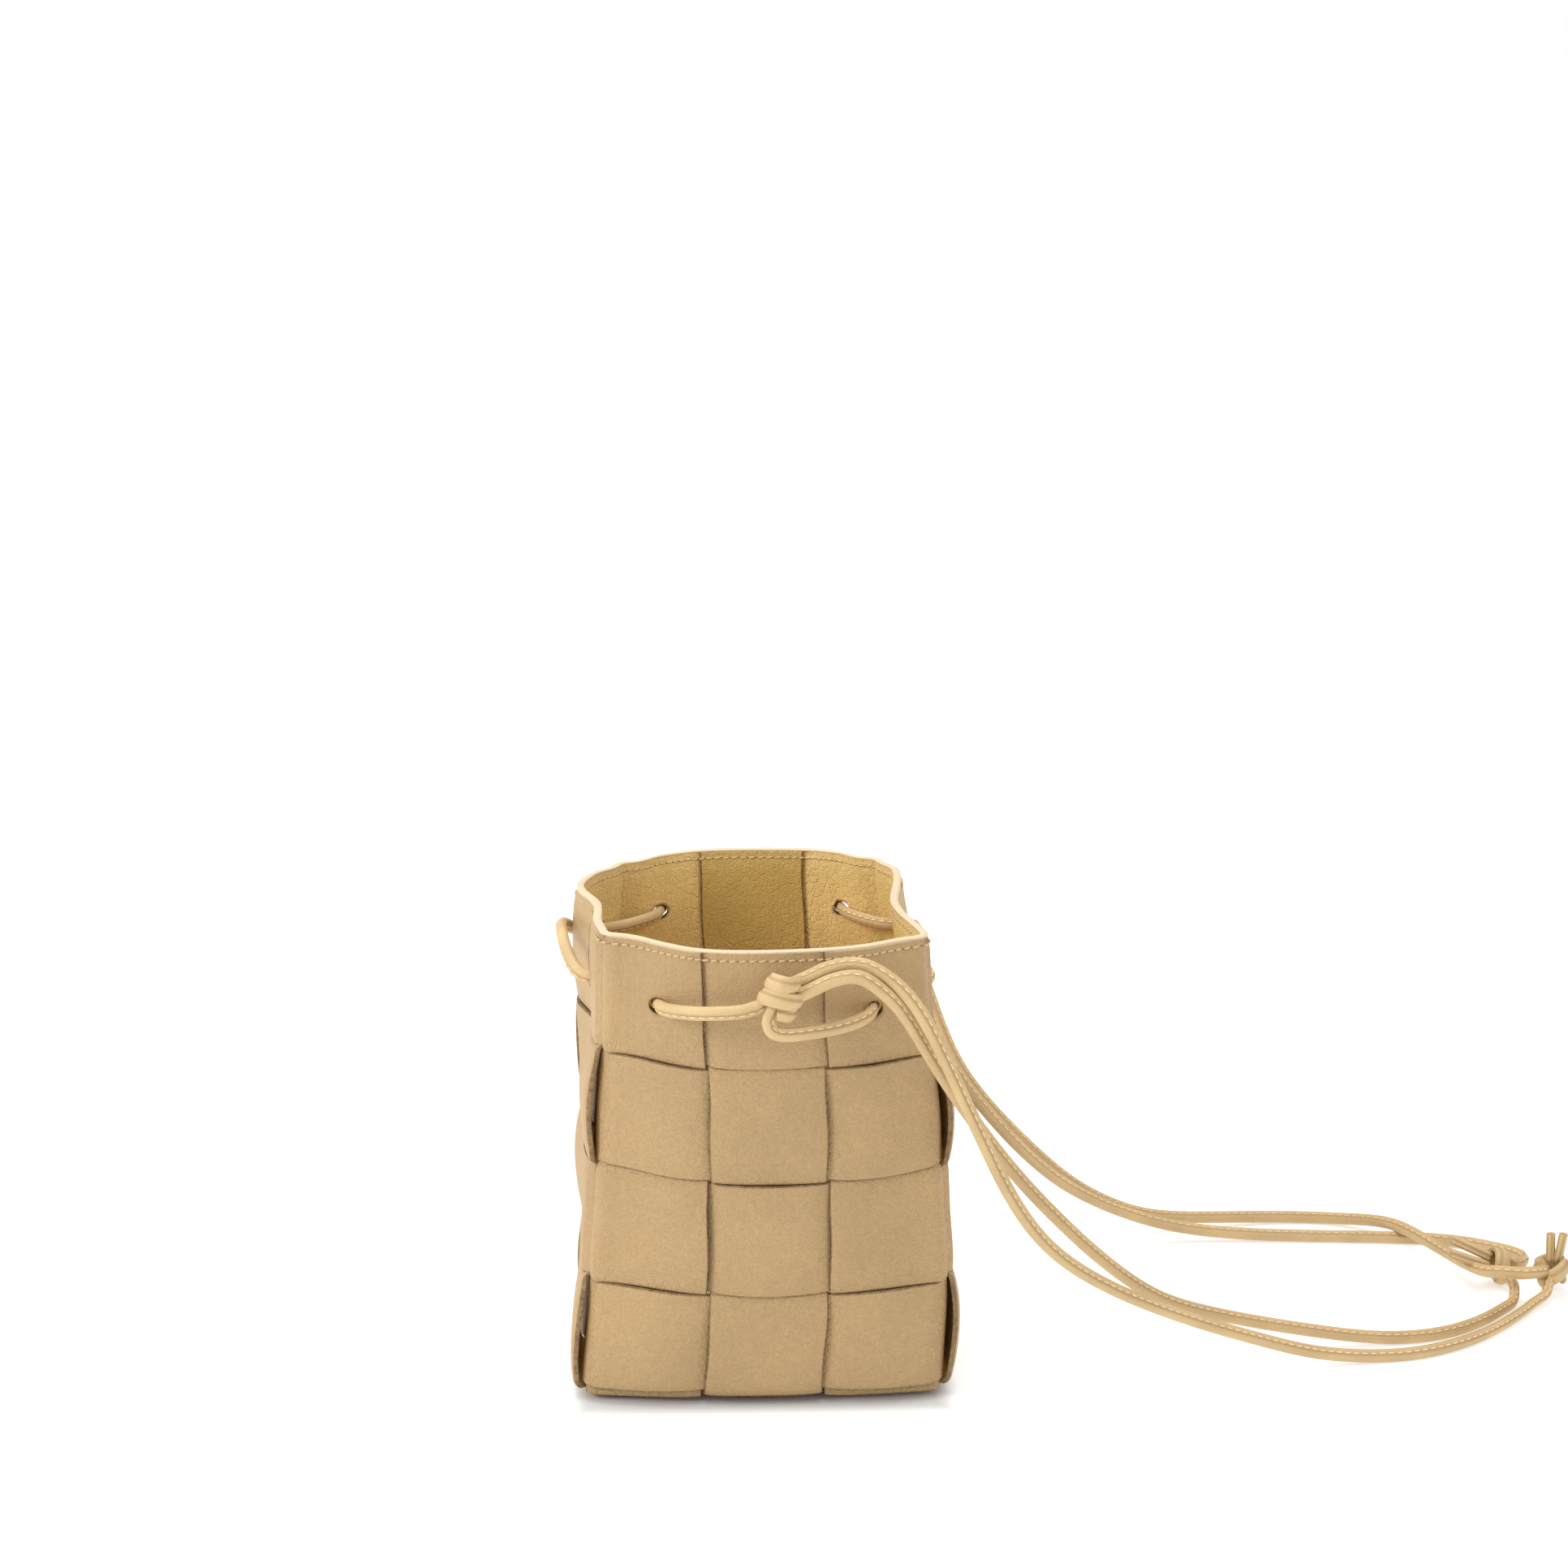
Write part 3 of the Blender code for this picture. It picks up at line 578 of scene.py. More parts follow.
def section(half_width, count):
    """A flat strip's outline: two faces joined by round cut edges, as (across, height, edge) arrays."""
    s = bpy.context.scene.bag_sizes
    half, corner = s.leather / 2, s.leather * 0.32
    across = np.sin(np.linspace(-1, 1, count) * math.pi / 2) * (half_width - corner)
    angles = np.linspace(math.pi / 2, -math.pi / 2, 7)[1:-1]
    bulge = np.sign(np.sin(angles)) * np.abs(np.sin(angles)) ** 0.7
    side = half_width - corner + corner * np.cos(angles) ** 0.7
    a = np.concatenate([across, side, across[::-1], -side])
    h = np.concatenate([np.full(count, half), half * bulge, np.full(count, -half), -half * bulge])
    e = np.concatenate([np.zeros(count), np.ones(5), np.zeros(count), np.ones(5)])
    return a, h, e


def grid_mesh(name, points, closed_rows, attributes, finish):
    """A mesh from a grid of points (rows, columns, 3). The columns go round a closed section."""
    rows, columns = points.shape[:2]
    index = np.arange(rows * columns).reshape(rows, columns)
    right = np.roll(index, -1, 1)
    up, up_right = np.roll(index, -1, 0), np.roll(right, -1, 0)
    faces = np.stack([index, right, up_right, up], -1)
    faces = faces if closed_rows else faces[:-1]
    faces = faces.reshape(-1, 4)
    mesh = bpy.data.meshes.new(name)
    mesh.vertices.add(rows * columns)
    mesh.vertices.foreach_set("co", points.reshape(-1).astype(np.float32))
    mesh.loops.add(faces.size)
    mesh.loops.foreach_set("vertex_index", faces.reshape(-1).astype(np.int32))
    mesh.polygons.add(len(faces))
    mesh.polygons.foreach_set("loop_start", np.arange(0, faces.size, 4, dtype=np.int32))
    mesh.update(calc_edges=True)
    mesh.validate()
    for key, values in attributes.items():
        layer = mesh.attributes.new(key, "FLOAT", "POINT")
        each = np.broadcast_to(values, (rows, columns)).reshape(-1)
        layer.data.foreach_set("value", each.astype(np.float32))
    mesh.shade_smooth()
    mesh.materials.append(material(finish))
    made = bpy.data.objects.new(name, mesh)
    bpy.context.scene.collection.objects.link(made)
    return made


def strip_lengths(borders, closed):
    """Places along a strip, close together near the dives and at the free ends."""
    steps = np.linspace(0, 1, 19)
    eased = 0.5 - 0.5 * np.cos(math.pi * steps)
    eased = 0.6 * eased + 0.4 * steps
    cells = [a + (b - a) * eased[:-1] for a, b in zip(borders[:-1], borders[1:])]
    inner = borders if closed else borders[1:-1]
    near = [b + d for b in inner for d in DIVE_STEPS]
    out = np.concatenate([*cells, near])
    if closed:
        return np.sort(out % (borders[-1] - borders[0]) + borders[0])
    out = np.concatenate([out, [borders[-1]], END_STEPS, [borders[-1] - e for e in END_STEPS]])
    return np.sort(out)


def punch(made, numbers):
    """Cuts the round holes of the given numbers through a piece of leather."""
    ring = np.arange(20) / 20 * TAU
    turns, sizes = [], [0.0, HOLE_RADIUS, HOLE_RADIUS, 0.0]
    for number in numbers:
        centre, normal = holes()[number]
        side = np.cross(normal, (0.0, 0.0, 1.0))
        for size, depth in zip(sizes, (-PUNCH_REACH, -PUNCH_REACH, PUNCH_REACH, PUNCH_REACH)):
            round_ring = np.outer(np.cos(ring), side) + np.outer(np.sin(ring), (0.0, 0.0, 1.0))
            turns.append(centre + depth * normal + size * round_ring)
    for k in range(len(numbers)):
        cutter = grid_mesh("punch", np.array(turns[4 * k : 4 * k + 4]), False, {}, "raw")
        weld(cutter)
        cut = made.modifiers.new("hole", "BOOLEAN")
        cut.operation, cut.object, cut.material_mode = "DIFFERENCE", cutter, "TRANSFER"
        shape = made.evaluated_get(bpy.context.evaluated_depsgraph_get())
        made.data = bpy.data.meshes.new_from_object(shape)
        made.modifiers.clear()
        bpy.data.objects.remove(cutter)


def weld(made):
    """Joins points that lie in one place, so that collapsed rows close the mesh, and turns it outwards."""
    bm = bmesh.new()
    bm.from_mesh(made.data)
    bmesh.ops.remove_doubles(bm, verts=bm.verts, dist=1e-6)
    bm.to_mesh(made.data)
    bm.free()
    if inside_out(made.data):
        made.data.flip_normals()


def sewn(name, points, attributes, closed_rows, node):
    """A strip or band from its grid of points, with its holes, on the bag in place of its CAD node."""
    made = grid_mesh(name, points, closed_rows, attributes, "strip")
    weld(made)
    punch(made, HOLE_USERS.get(node, ()))
    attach(made, "bag")
    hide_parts(node)
    return made


def inside_out(mesh):
    """Whether the closed mesh has a negative volume: the sum of a . (b x c) over its triangles."""
    co = np.empty(len(mesh.vertices) * 3, np.float32)
    mesh.vertices.foreach_get("co", co)
    co = co.reshape(-1, 3).astype(float)
    mesh.calc_loop_triangles()
    tri = np.empty(len(mesh.loop_triangles) * 3, np.int32)
    mesh.loop_triangles.foreach_get("vertices", tri)
    a, b, c = (co[tri.reshape(-1, 3)[:, i]] for i in range(3))
    return np.einsum("ij,ij->i", a, np.cross(b, c)).sum() < 0


def woven_strip(name, column, along_y, first_over):
    """One strip from rim to rim:
    P(l, q) = profile(l) + normal * (weave(l) + height(q) - drop(across))."""
    s = bpy.context.scene.bag_sizes
    r, side = s.edge_radius, half_side()
    wall, arc = s.height - s.base - r, r * math.pi / 2
    total = 2 * (wall + arc + side - r)
    half = [s.row * k for k in range(4)] + [wall + arc / 2, total / 2 - s.column / 2]
    borders = np.array(half + [total - v for v in reversed(half)])
    length = strip_lengths(borders, closed=False)
    tip = np.minimum(length, total - length)
    base = smoothstep(wall, wall + arc, tip)
    bow = (1.0 if along_y else 1.5) * (1 - base) + 0.65 * base
    offset, dive_shade_and_crease, over = weave(length, borders, first_over, False, bow)
    a, h, edge = section((s.column - s.spacing) / 2, 27)
    round_off = np.sqrt(np.clip(1 - (1 - np.clip(tip / 0.0006, 0, 1)) ** 2, 0, 1))
    wave = 0.00025 * np.sin(length * 190 + column * 2.1 + along_y)
    reach = 0.5 * smooth_sign(length, borders, first_over) + 0.5
    outer = (a * column > 0) * np.abs(a) / np.abs(a).max()
    wrap = 0.0004 + (0.0066 if along_y else 0.0036) * reach * (1 - 0.75 * base)
    ends = side - r + wrap - (abs(column) * s.column + np.abs(a).max())
    wider = np.sign(column) * outer[None, :] ** 3 * ends[:, None] * abs(column)
    across = column * s.column + a[None, :] * (1 + wave[:, None] / 0.02) + wider
    curl = EDGE_CURL * np.clip(np.abs(a) / np.abs(a).max(), 0, 1) ** 5
    press = 1 - RIM_PRESS * (1 - smoothstep(0.0, RIM_PRESS_DEPTH, tip))
    lift = offset[:, None] + h[None, :] * round_off[:, None] - curl[None, :] * over[:, None]
    lift = lift * press[:, None]
    place, drop = rounded_edge(across, side - r, 1.0 if along_y else 0.5)
    along, up, n_along, n_up = strip_profile(length)
    q1 = along[:, None] + n_along[:, None] * (lift - drop)
    q2 = up[:, None] + n_up[:, None] * (lift - drop)
    points = np.stack([place, q1, q2] if along_y else [-q1, place, q2], -1)
    points = soft_shape(points)
    data = {
        "edge": edge[None, :],
        "inner": (h < 0).astype(float)[None, :],
        "dive_shade_and_crease": dive_shade_and_crease[:, None],
        "rim": (tip < 0.0009).astype(float)[:, None],
        "shade": np.full((1, 1), float(along_y and column == 0)),
    }
    return sewn(name + "_leather", points, data, False, name)


def woven_band(name, row):
    """One band round the walls: P(l, q) = profile(l) + normal * (weave(l) + height(q) - drop(z))."""
    s = bpy.context.scene.bag_sizes
    r, side = s.edge_radius, half_side()
    flat, arc = side - r, r * math.pi / 2
    pitch = (2 * flat + arc) / 3
    borders = np.array([pitch * (k - 0.5) for k in range(13)])
    shift = 0.0036 if row % 2 == 0 else -0.0022
    borders[[2, 5, 8, 11]] += shift * np.array((1, -1, 1, -1))
    length = strip_lengths(borders, closed=True)
    offset, dive_shade_and_crease, over = weave(length, borders, row % 2 == 0, True, 1.0 if row else 0.15)
    top = s.height - s.row * row - (s.spacing / 2 if row else 0.0)
    low = s.height - s.row * (row + 1) + s.spacing / 2
    low = max(low, s.base + r * 0.6)
    a, h, edge = section((top - low) / 2, 27)
    sag = 0.0006 * np.where(over, np.sin(math.pi * ((length - borders[0]) / pitch % 1)), 0.0)
    height = (top + low) / 2 + a[None, :] - sag[:, None] * (a < 0)[None, :]
    curl = EDGE_CURL * np.clip(np.abs(a) / np.abs(a).max(), 0, 1) ** 5 * (1 if row else 0)
    lift = offset[:, None] + h[None, :] - curl[None, :] * over[:, None]
    lift = lift * (1 - RIM_PRESS * smoothstep(s.height - RIM_PRESS_DEPTH, s.height, height))
    below, drop = rounded_edge(np.clip(s.base + r - height, 0, None), 0.0)
    z = np.where(below > 0, s.base + r - below, height)
    x, y, nx, ny = band_profile(length)
    reach = lift - drop
    points = np.stack([x[:, None] + nx[:, None] * reach, y[:, None] + ny[:, None] * reach, z], -1)
    points = soft_shape(points)
    on_rim = (edge > 0.5) & (a > 0) & (row == 0)
    data = {
        "edge": np.where(on_rim, 0.0, edge)[None, :],
        "inner": (h < 0).astype(float)[None, :],
        "dive_shade_and_crease": dive_shade_and_crease[:, None],
        "rim": on_rim.astype(float)[None, :],
    }
    return sewn(name + "_leather", points, data, True, name)


def smooth_route(points, step=0.0018):
    """Points on a centripetal Catmull-Rom curve through the route's own points."""
    p = np.asarray(points, float)
    p = np.vstack([2 * p[0] - p[1], p, 2 * p[-1] - p[-2]])
    out = []
    for p0, p1, p2, p3 in zip(p[:-3], p[1:-2], p[2:-1], p[3:]):
        t0 = 0.0
        t1 = t0 + math.sqrt(np.linalg.norm(p1 - p0))
        t2 = t1 + math.sqrt(np.linalg.norm(p2 - p1))
        t3 = t2 + math.sqrt(np.linalg.norm(p3 - p2))
        count = max(2, round(np.linalg.norm(p2 - p1) / step))
        t = np.linspace(t1, t2, count, endpoint=False)[:, None]
        a1 = (t1 - t) / (t1 - t0) * p0 + (t - t0) / (t1 - t0) * p1
        a2 = (t2 - t) / (t2 - t1) * p1 + (t - t1) / (t2 - t1) * p2
        a3 = (t3 - t) / (t3 - t2) * p2 + (t - t2) / (t3 - t2) * p3
        b1 = (t2 - t) / (t2 - t0) * a1 + (t - t0) / (t2 - t0) * a2
        b2 = (t3 - t) / (t3 - t1) * a2 + (t - t1) / (t3 - t1) * a3
        out.append((t2 - t) / (t2 - t1) * b1 + (t - t1) / (t2 - t1) * b2)
    return np.vstack([*out, p[-2][None]])


def slack(path, spread, hold):
    """The path with its bends eased: each point goes to the Gaussian mean of those around it.
    The spread and the length held at each end count the path's own points."""
    reach = np.arange(-14, 15)
    share = np.exp(-((reach / spread) ** 2) / 2)
    around = np.clip(np.arange(len(path))[:, None] + reach, 0, len(path) - 1)
    eased = (path[around] * (share / share.sum())[:, None]).sum(1)
    ends = np.minimum(np.arange(len(path)), np.arange(len(path))[::-1])
    free = smoothstep(0.4 * hold, hold, ends)[:, None]
    return path * (1 - free) + eased * free


def frames(path):
    """Tangent, side and lift vectors along a path, with the least twist."""
    tangent = np.gradient(path, axis=0)
    tangent /= np.linalg.norm(tangent, axis=1)[:, None]
    lift = np.empty_like(tangent)
    last = FIRST_LIFT
    for i, t in enumerate(tangent):
        last = last - t * (last @ t)
        last = last / np.linalg.norm(last)
        lift[i] = last
    return tangent, np.cross(lift, tangent), lift


def path_length(path):
    """Sum of the distances from each point to the next."""
    return float(np.linalg.norm(np.diff(path, axis=0), axis=1).sum())


def turned_frames(path, turn, facing=None):
    """Frames along a cord that rolls slowly about its own line, or that faces the given directions."""
    tangent, side, lift = frames(path)
    if facing is not None:
        lift = facing - tangent * (facing * tangent).sum(1)[:, None]
        lift = lift / np.linalg.norm(lift, axis=1)[:, None]
        return tangent, np.cross(lift, tangent), lift
    roll = turn + 0.25 * np.sin(np.linspace(0, path_length(path) * 17, len(path)))
    c, n = np.cos(roll)[:, None], np.sin(roll)[:, None]
    return tangent, side * c + lift * n, lift * c - side * n


def cord_tube(name, path, turn=0.0, scale=(1.0, 1.0), facing=None):
    """A folded cord: P(l, v) = path(l) + side * w(v) + lift * h(v). A round bead holds its core, the sewn
    edges beside it are thinner, and a groove runs where the two edges meet."""
    s = bpy.context.scene.bag_sizes
    _, side, lift = turned_frames(path, turn, facing)
    v = np.arange(40) / 40 * TAU
    groove = np.exp(-((np.minimum(v, TAU - v) / 0.16) ** 2))
    flat = np.sign(np.sin(v)) * np.abs(np.sin(v)) ** 0.85
    w = scale[0] * s.cord_width / 2 * np.cos(v) * (1 - 0.16 * groove)
    h = scale[1] * s.cord_height / 2 * flat * (1 - 0.36 * smoothstep(0.10, 0.50, np.cos(v)))
    path, side, lift = (np.vstack([x[:1], x, x[-1:]]) for x in (path, side, lift))
    size = np.ones((len(path), 1))
    size[[0, -1]] = 0.0
    wide, tall = w * size, h * size
    points = path[:, None] + side[:, None] * wide[..., None] + lift[:, None] * tall[..., None]
    cut = np.zeros(len(path))
    cut[[0, -1]] = 1.0
    line = 0.85 * np.exp(-(((np.cos(v) - 0.34) / 0.17) ** 2))
    dark = np.maximum(cut[:, None], np.maximum(0.9 * groove, line)[None, :])
    made = grid_mesh(name, points, False, {"edge": dark}, "cord")
    weld(made)
    return made


def stitches(name, centres, along, out, length, radius, finish="thread"):
    """Slim stitches: P(k, u, v) = c_k + a_k L/2 cos(pi u) + r sin(pi u)^0.6 (o_k cos v + b_k sin v)."""
    along = along / np.linalg.norm(along, axis=1)[:, None]
    aside = np.cross(along, out)
    u = np.linspace(0, 1, 9)
    v = np.arange(8) / 8 * TAU
    body = np.sin(math.pi * u) ** 0.6
    body[[0, -1]] = 0.0
    spine = centres[:, None] + along[:, None] * (length / 2 * np.cos(math.pi * u))[None, :, None]
    spine = spine + out[:, None] * (radius * 0.9 * (np.sin(math.pi * u) - 1))[None, :, None]
    ring = out[:, None] * np.cos(v)[None, :, None] + aside[:, None] * np.sin(v)[None, :, None]
    points = spine[:, :, None] + ring[:, None] * (radius * body)[None, :, None, None]
    count, rows, columns = points.shape[:3]
    index = np.arange(count * rows * columns).reshape(count, rows, columns)
    right = np.roll(index, -1, 2)
    faces = np.stack([index[:, :-1], right[:, :-1], right[:, 1:], index[:, 1:]], -1).reshape(-1, 4)
    mesh = bpy.data.meshes.new(name)
    mesh.from_pydata(points.reshape(-1, 3), [], faces)
    twist = mesh.attributes.new("twist", "FLOAT", "POINT")
    wave = 0.5 + 0.5 * np.sin(v[None, :] * 2 + u[:, None] * 22)
    twist.data.foreach_set("value", np.tile(wave.reshape(-1), count).astype(np.float32))
    mesh.shade_smooth()
    mesh.materials.append(material(finish))
    made = bpy.data.objects.new(name, mesh)
    bpy.context.scene.collection.objects.link(made)
    weld(made)
    return made


def cord_stitches(name, path):
    """Stitches on both faces of a cord, near the side where its two edges meet."""
    s = bpy.context.scene.bag_sizes
    tangent, side, lift = turned_frames(path, 0.0)
    run = np.concatenate([[0], np.cumsum(np.linalg.norm(np.diff(path, axis=0), axis=1))])
    at = np.arange(0.006, run[-1] - 0.003, s.stitch_pitch)
    here, t, b, n = (
        np.stack([np.interp(at, run, x[:, i]) for i in range(3)], -1) for x in (path, tangent, side, lift)
    )
    place = here + b * s.cord_width * CORD_STITCH_ACROSS
    top = place + n * s.cord_height * CORD_STITCH_ABOVE
    low = place - n * s.cord_height * CORD_STITCH_ABOVE
    return stitches(
        name,
        np.vstack([top, low]),
        np.vstack([t, t]),
        np.vstack([n, -n]),
        s.stitch_pitch * 0.72,
        CORD_STITCH_RADIUS,
        "cord thread",
    )


def lead(knot, angle, side):
    """The straight start of a strap strand through its sliding knot."""
    along = np.array((math.cos(angle), 0.0, math.sin(angle)))
    beside = np.array((-math.sin(angle), 1.0, math.cos(angle))) / math.sqrt(2)
    beside = beside * side * STRAND_SPACING / 2
    return [knot + beside + reach * along for reach in (-0.003, 0.0, 0.012, 0.018)]


def at_knot(knot, direction, into):
    """The last points of a cord that meets a knot squarely and ends inside it."""
    away = np.asarray(direction) / np.linalg.norm(direction)
    return [knot + away * (KNOT_REACH + 0.0046), knot + away * KNOT_REACH, knot + np.asarray(into)]


def holes():
    """Centres and normals of the eight holes, anticlockwise from the front left."""
    s = bpy.context.scene.bag_sizes
    found = []
    for quarter in range(4):
        c, n = math.cos(quarter * math.pi / 2), math.sin(quarter * math.pi / 2)
        for column in (-s.column, s.column):
            x, y = column, -half_side()
            at = np.array((c * x - n * y, n * x + c * y, s.height - HOLE_DROP))
            found.append((soft_shape(at), np.array((n, -c, 0.0))))
    return found


def mouth_route(first, front, outside, rear, last, through):
    """From the front knot, in and out of four holes, to the rear knot."""
    points = [*reversed(first), *front]
    for k, (sign, hole) in enumerate(zip((1, -1, -1, 1, 1, -1, -1, 1), (0, 0, 1, 1, 2, 2, 3, 3))):
        centre, normal = through[hole]
        points.append(centre + sign * HOLE_STEP * normal)
        if k % 2 == 0:
            points.append(centre)
        if k == 3:
            points += [np.array(p) for p in outside]
    return points + [*rear, *last]


class BAG_OT_body(bpy.types.Operator):
    """Makes the woven strips and bands of the body"""

    bl_idname = "bag.body"
    bl_label = "Woven body"

    def execute(self, context):
        for column, side in ((-1, "left"), (0, "centre"), (1, "right")):
            woven_strip("front_to_rear_strip_" + side, column, True, column != 0)
        for column, side in ((-1, "front"), (0, "middle"), (1, "rear")):
            woven_strip("side_to_side_strip_" + side, column, False, column == 0)
        for row, level in enumerate(("rim", "upper", "lower", "base")):
            woven_band("woven_band_" + level, row)
        return {"FINISHED"}


class BAG_OT_cords(bpy.types.Operator):
    """Makes the two cords: their stretches at the mouth and their strap strands"""

    bl_idname = "bag.cords"
    bl_label = "Cords"

    def execute(self, context):
        h, sizes = holes(), context.scene.bag_sizes
        fronts = [lead(FRONT_KNOT, FRONT_LEAD, side) for side in (1, -1)]
        rears = [lead(REAR_KNOT, REAR_LEAD, side) for side in (1, -1)]
        routes = {
            "left_cord_at_mouth": mouth_route(
                at_knot(FRONT_KNOT, (-0.82, 0.24, -0.52), fronts[0][0] - FRONT_KNOT),
                [(-0.0100, -0.0790, 0.1516), (-0.0217, -0.0770, 0.1506)],
                [(-0.0695, -0.0200, 0.1572), (-0.0714, -0.0060, 0.1588), (-0.0724, 0.0100, 0.1580)],
                [(-0.0217, 0.0790, 0.1506), (-0.0100, 0.0800, 0.1525)],
                at_knot(REAR_KNOT, (-0.90, -0.20, -0.40), rears[0][0] - REAR_KNOT),
                [h[0], h[7], h[6], h[5]],
            ),
            "right_cord_at_mouth": mouth_route(
                at_knot(FRONT_KNOT, (-0.50, -0.30, -0.81), fronts[1][0] - FRONT_KNOT),
                [
                    (0.0030, -0.0858, 0.1450),
                    (0.0115, -0.0845, 0.1456),
                    (0.0219, -0.0815, 0.1459),
                    (0.0320, -0.0768, 0.1468),
                ],
                [(0.0590, -0.0100, 0.1500), (0.0602, 0.0100, 0.1500)],
                [(0.0260, 0.0800, 0.1445), (0.0130, 0.0840, 0.1440)],
                at_knot(REAR_KNOT, (0.0, 0.30, -0.95), rears[1][0] - REAR_KNOT),
                [h[1], h[2], h[3], h[4]],
            ),
            "left_cord_front_strand": fronts[0]
            + LEFT_FRONT_ROUTE
            + at_knot(LEFT_END_KNOT, (-0.43, -0.83, -0.35), (-0.0015, -0.0029, -0.0012)),
            "right_cord_front_strand": fronts[1]
            + RIGHT_FRONT_ROUTE
            + at_knot(RIGHT_END_KNOT, (0.18, -0.97, -0.18), (0.0006, -0.0034, -0.0006)),
            "left_cord_rear_strand": rears[0]
            + LEFT_REAR_ROUTE
            + at_knot(LEFT_END_KNOT, (-0.78, -0.59, 0.20), (-0.0027, -0.0021, 0.0007)),
            "right_cord_rear_strand": rears[1]
            + RIGHT_REAR_ROUTE
            + at_knot(RIGHT_END_KNOT, (0.81, 0.56, -0.19), (0.0028, 0.0020, -0.0007)),
        }
        for name, route in routes.items():
            body = "bag" if "mouth" in name else "strap"
            path = slack(smooth_route(route), *(MOUTH_EASE if body == "bag" else STRAND_EASE))
            made = cord_tube(name + "_leather", path)
            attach(made, body)
            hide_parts(name)
            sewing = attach(cord_stitches(name + "_stitches", path), body)
            "object" if "mouth" in name else "knot"
        return {"FINISHED"}


class BAG_OT_rim(bpy.types.Operator):
    """Makes the painted edge of the rim and the stitches below it, outside and inside"""

    bl_idname = "bag.rim"
    bl_label = "Rim"

    def execute(self, context):
        s = context.scene.bag_sizes
        flat, r = half_side() - s.edge_radius, s.edge_radius
        total = 4 * (2 * flat + r * math.pi / 2)
        length = np.linspace(0, total, 480, endpoint=False)
        x, y, nx, ny = (v[:, None] for v in band_profile(length))
        v = np.arange(14) / 14 * TAU
        wide = RIM_HALF_WIDTH * np.sign(np.cos(v)) * np.abs(np.cos(v)) ** 0.7
        tall = s.height - 0.0002 + 0.0006 * np.sin(v) + 0 * x
        edge = grid_mesh(
            "rim_edge", soft_shape(np.stack([x + nx * wide, y + ny * wide, tall], -1)), True, {}, "rim"
        )
        weld(edge)
        length = np.arange(round(total / s.stitch_pitch)) * total / round(total / s.stitch_pitch)
        x, y, nx, ny = band_profile(length)
        z = np.full_like(x, s.height - s.rim_seam)
        sewing = []
        for name, reach, slant in RIM_SEAMS:
            at = soft_shape(np.stack([x + nx * reach, y + ny * reach, z], -1))
            out = np.sign(reach) * np.stack([nx, ny, 0 * nx], -1)
            along = np.roll(at, -1, 0) - np.roll(at, 1, 0)
            along = along / np.linalg.norm(along, axis=1)[:, None] + np.array((0.0, 0.0, slant))
            size = s.stitch_pitch * 0.76, RIM_STITCH_RADIUS
            sewing.append(stitches("rim_stitches_" + name, at, along, out, *size))
            # Needle holes: dark rods of cut-leather colour just under the surface, partly the real cut
            # leather and partly painted shade for the depth of each hole.
            pricked = (at + np.roll(at, -1, 0)) / 2 - out * PRICK_DEPTH
            steep = along - np.array((0.0, 0.0, 5 * slant))
            size = PRICK_LENGTH, PRICK_RADIUS
            sewing.append(stitches("rim_pricks_" + name, pricked, steep, out, *size, "raw"))
        for made in (edge, *sewing):
            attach(made, "bag")
        return {"FINISHED"}


def coil_path(knot, angle, turns, radius, pitch):
    """Turns of cord: knot + r (cos p, sin p) + axis * pitch p / 2 pi, tucked in at its ends.
    Also returns the outward direction at each point, which the flat cord faces."""
    axis = np.array((math.cos(angle), 0.0, math.sin(angle)))
    raised = np.array((-math.sin(angle), 0.0, math.cos(angle)))
    across = np.array((0.0, -1.0, 0.0))
    p = np.linspace(-math.pi * turns, math.pi * turns, int(64 * turns))
    tuck = radius * (1 - 0.42 * smoothstep(0.80, 1.0, np.abs(p) / (math.pi * turns)))
    out = np.outer(np.cos(p + 2.0), raised) + np.outer(np.sin(p + 2.0), across)
    tilt = 0.0010 * np.cos(p - 0.4)
    return knot + tuck[:, None] * out + np.outer(pitch * p / TAU + tilt, axis), out


class BAG_OT_knots(bpy.types.Operator):
    """Makes the two sliding knots, the two end knots and the cords' tails"""

    bl_idname = "bag.knots"
    bl_label = "Knots"

    def execute(self, context):
        for name, knot, angle in (("front", FRONT_KNOT, FRONT_LEAD), ("rear", REAR_KNOT, REAR_LEAD)):
            path, out = coil_path(knot, angle + KNOT_SLANT, *SLIDING_WRAP)
            made = cord_tube(name + "_sliding_knot_leather", path, 0.0, SLIDING_WRAP_SCALE, out)
            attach(made, name + "_knot")
            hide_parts(name + "_sliding_knot")
        ends = (("left", LEFT_END_KNOT, LEFT_WRAP), ("right", RIGHT_END_KNOT, RIGHT_WRAP))
        for name, knot, angle in ends:
            path, out = coil_path(knot, angle, *END_WRAP)
            made = cord_tube(name + "_cord_end_knot_leather", path, 0.0, END_WRAP_SCALE, out)
            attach(made, "strap")
            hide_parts(name + "_cord_end_knot")
        for name, (knot, direction, beside, length) in TAILS.items():
            along = np.array(direction) / np.linalg.norm(direction)
            start = knot + np.array(beside) + along * 0.004
            path = smooth_route([start, start + along * 0.006, start + along * length], 0.0012)
            made = cord_tube(name + "_leather", path, TAIL_ROLL, TAIL_SCALE)
            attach(made, "strap")
            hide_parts(name)
        return {"FINISHED"}


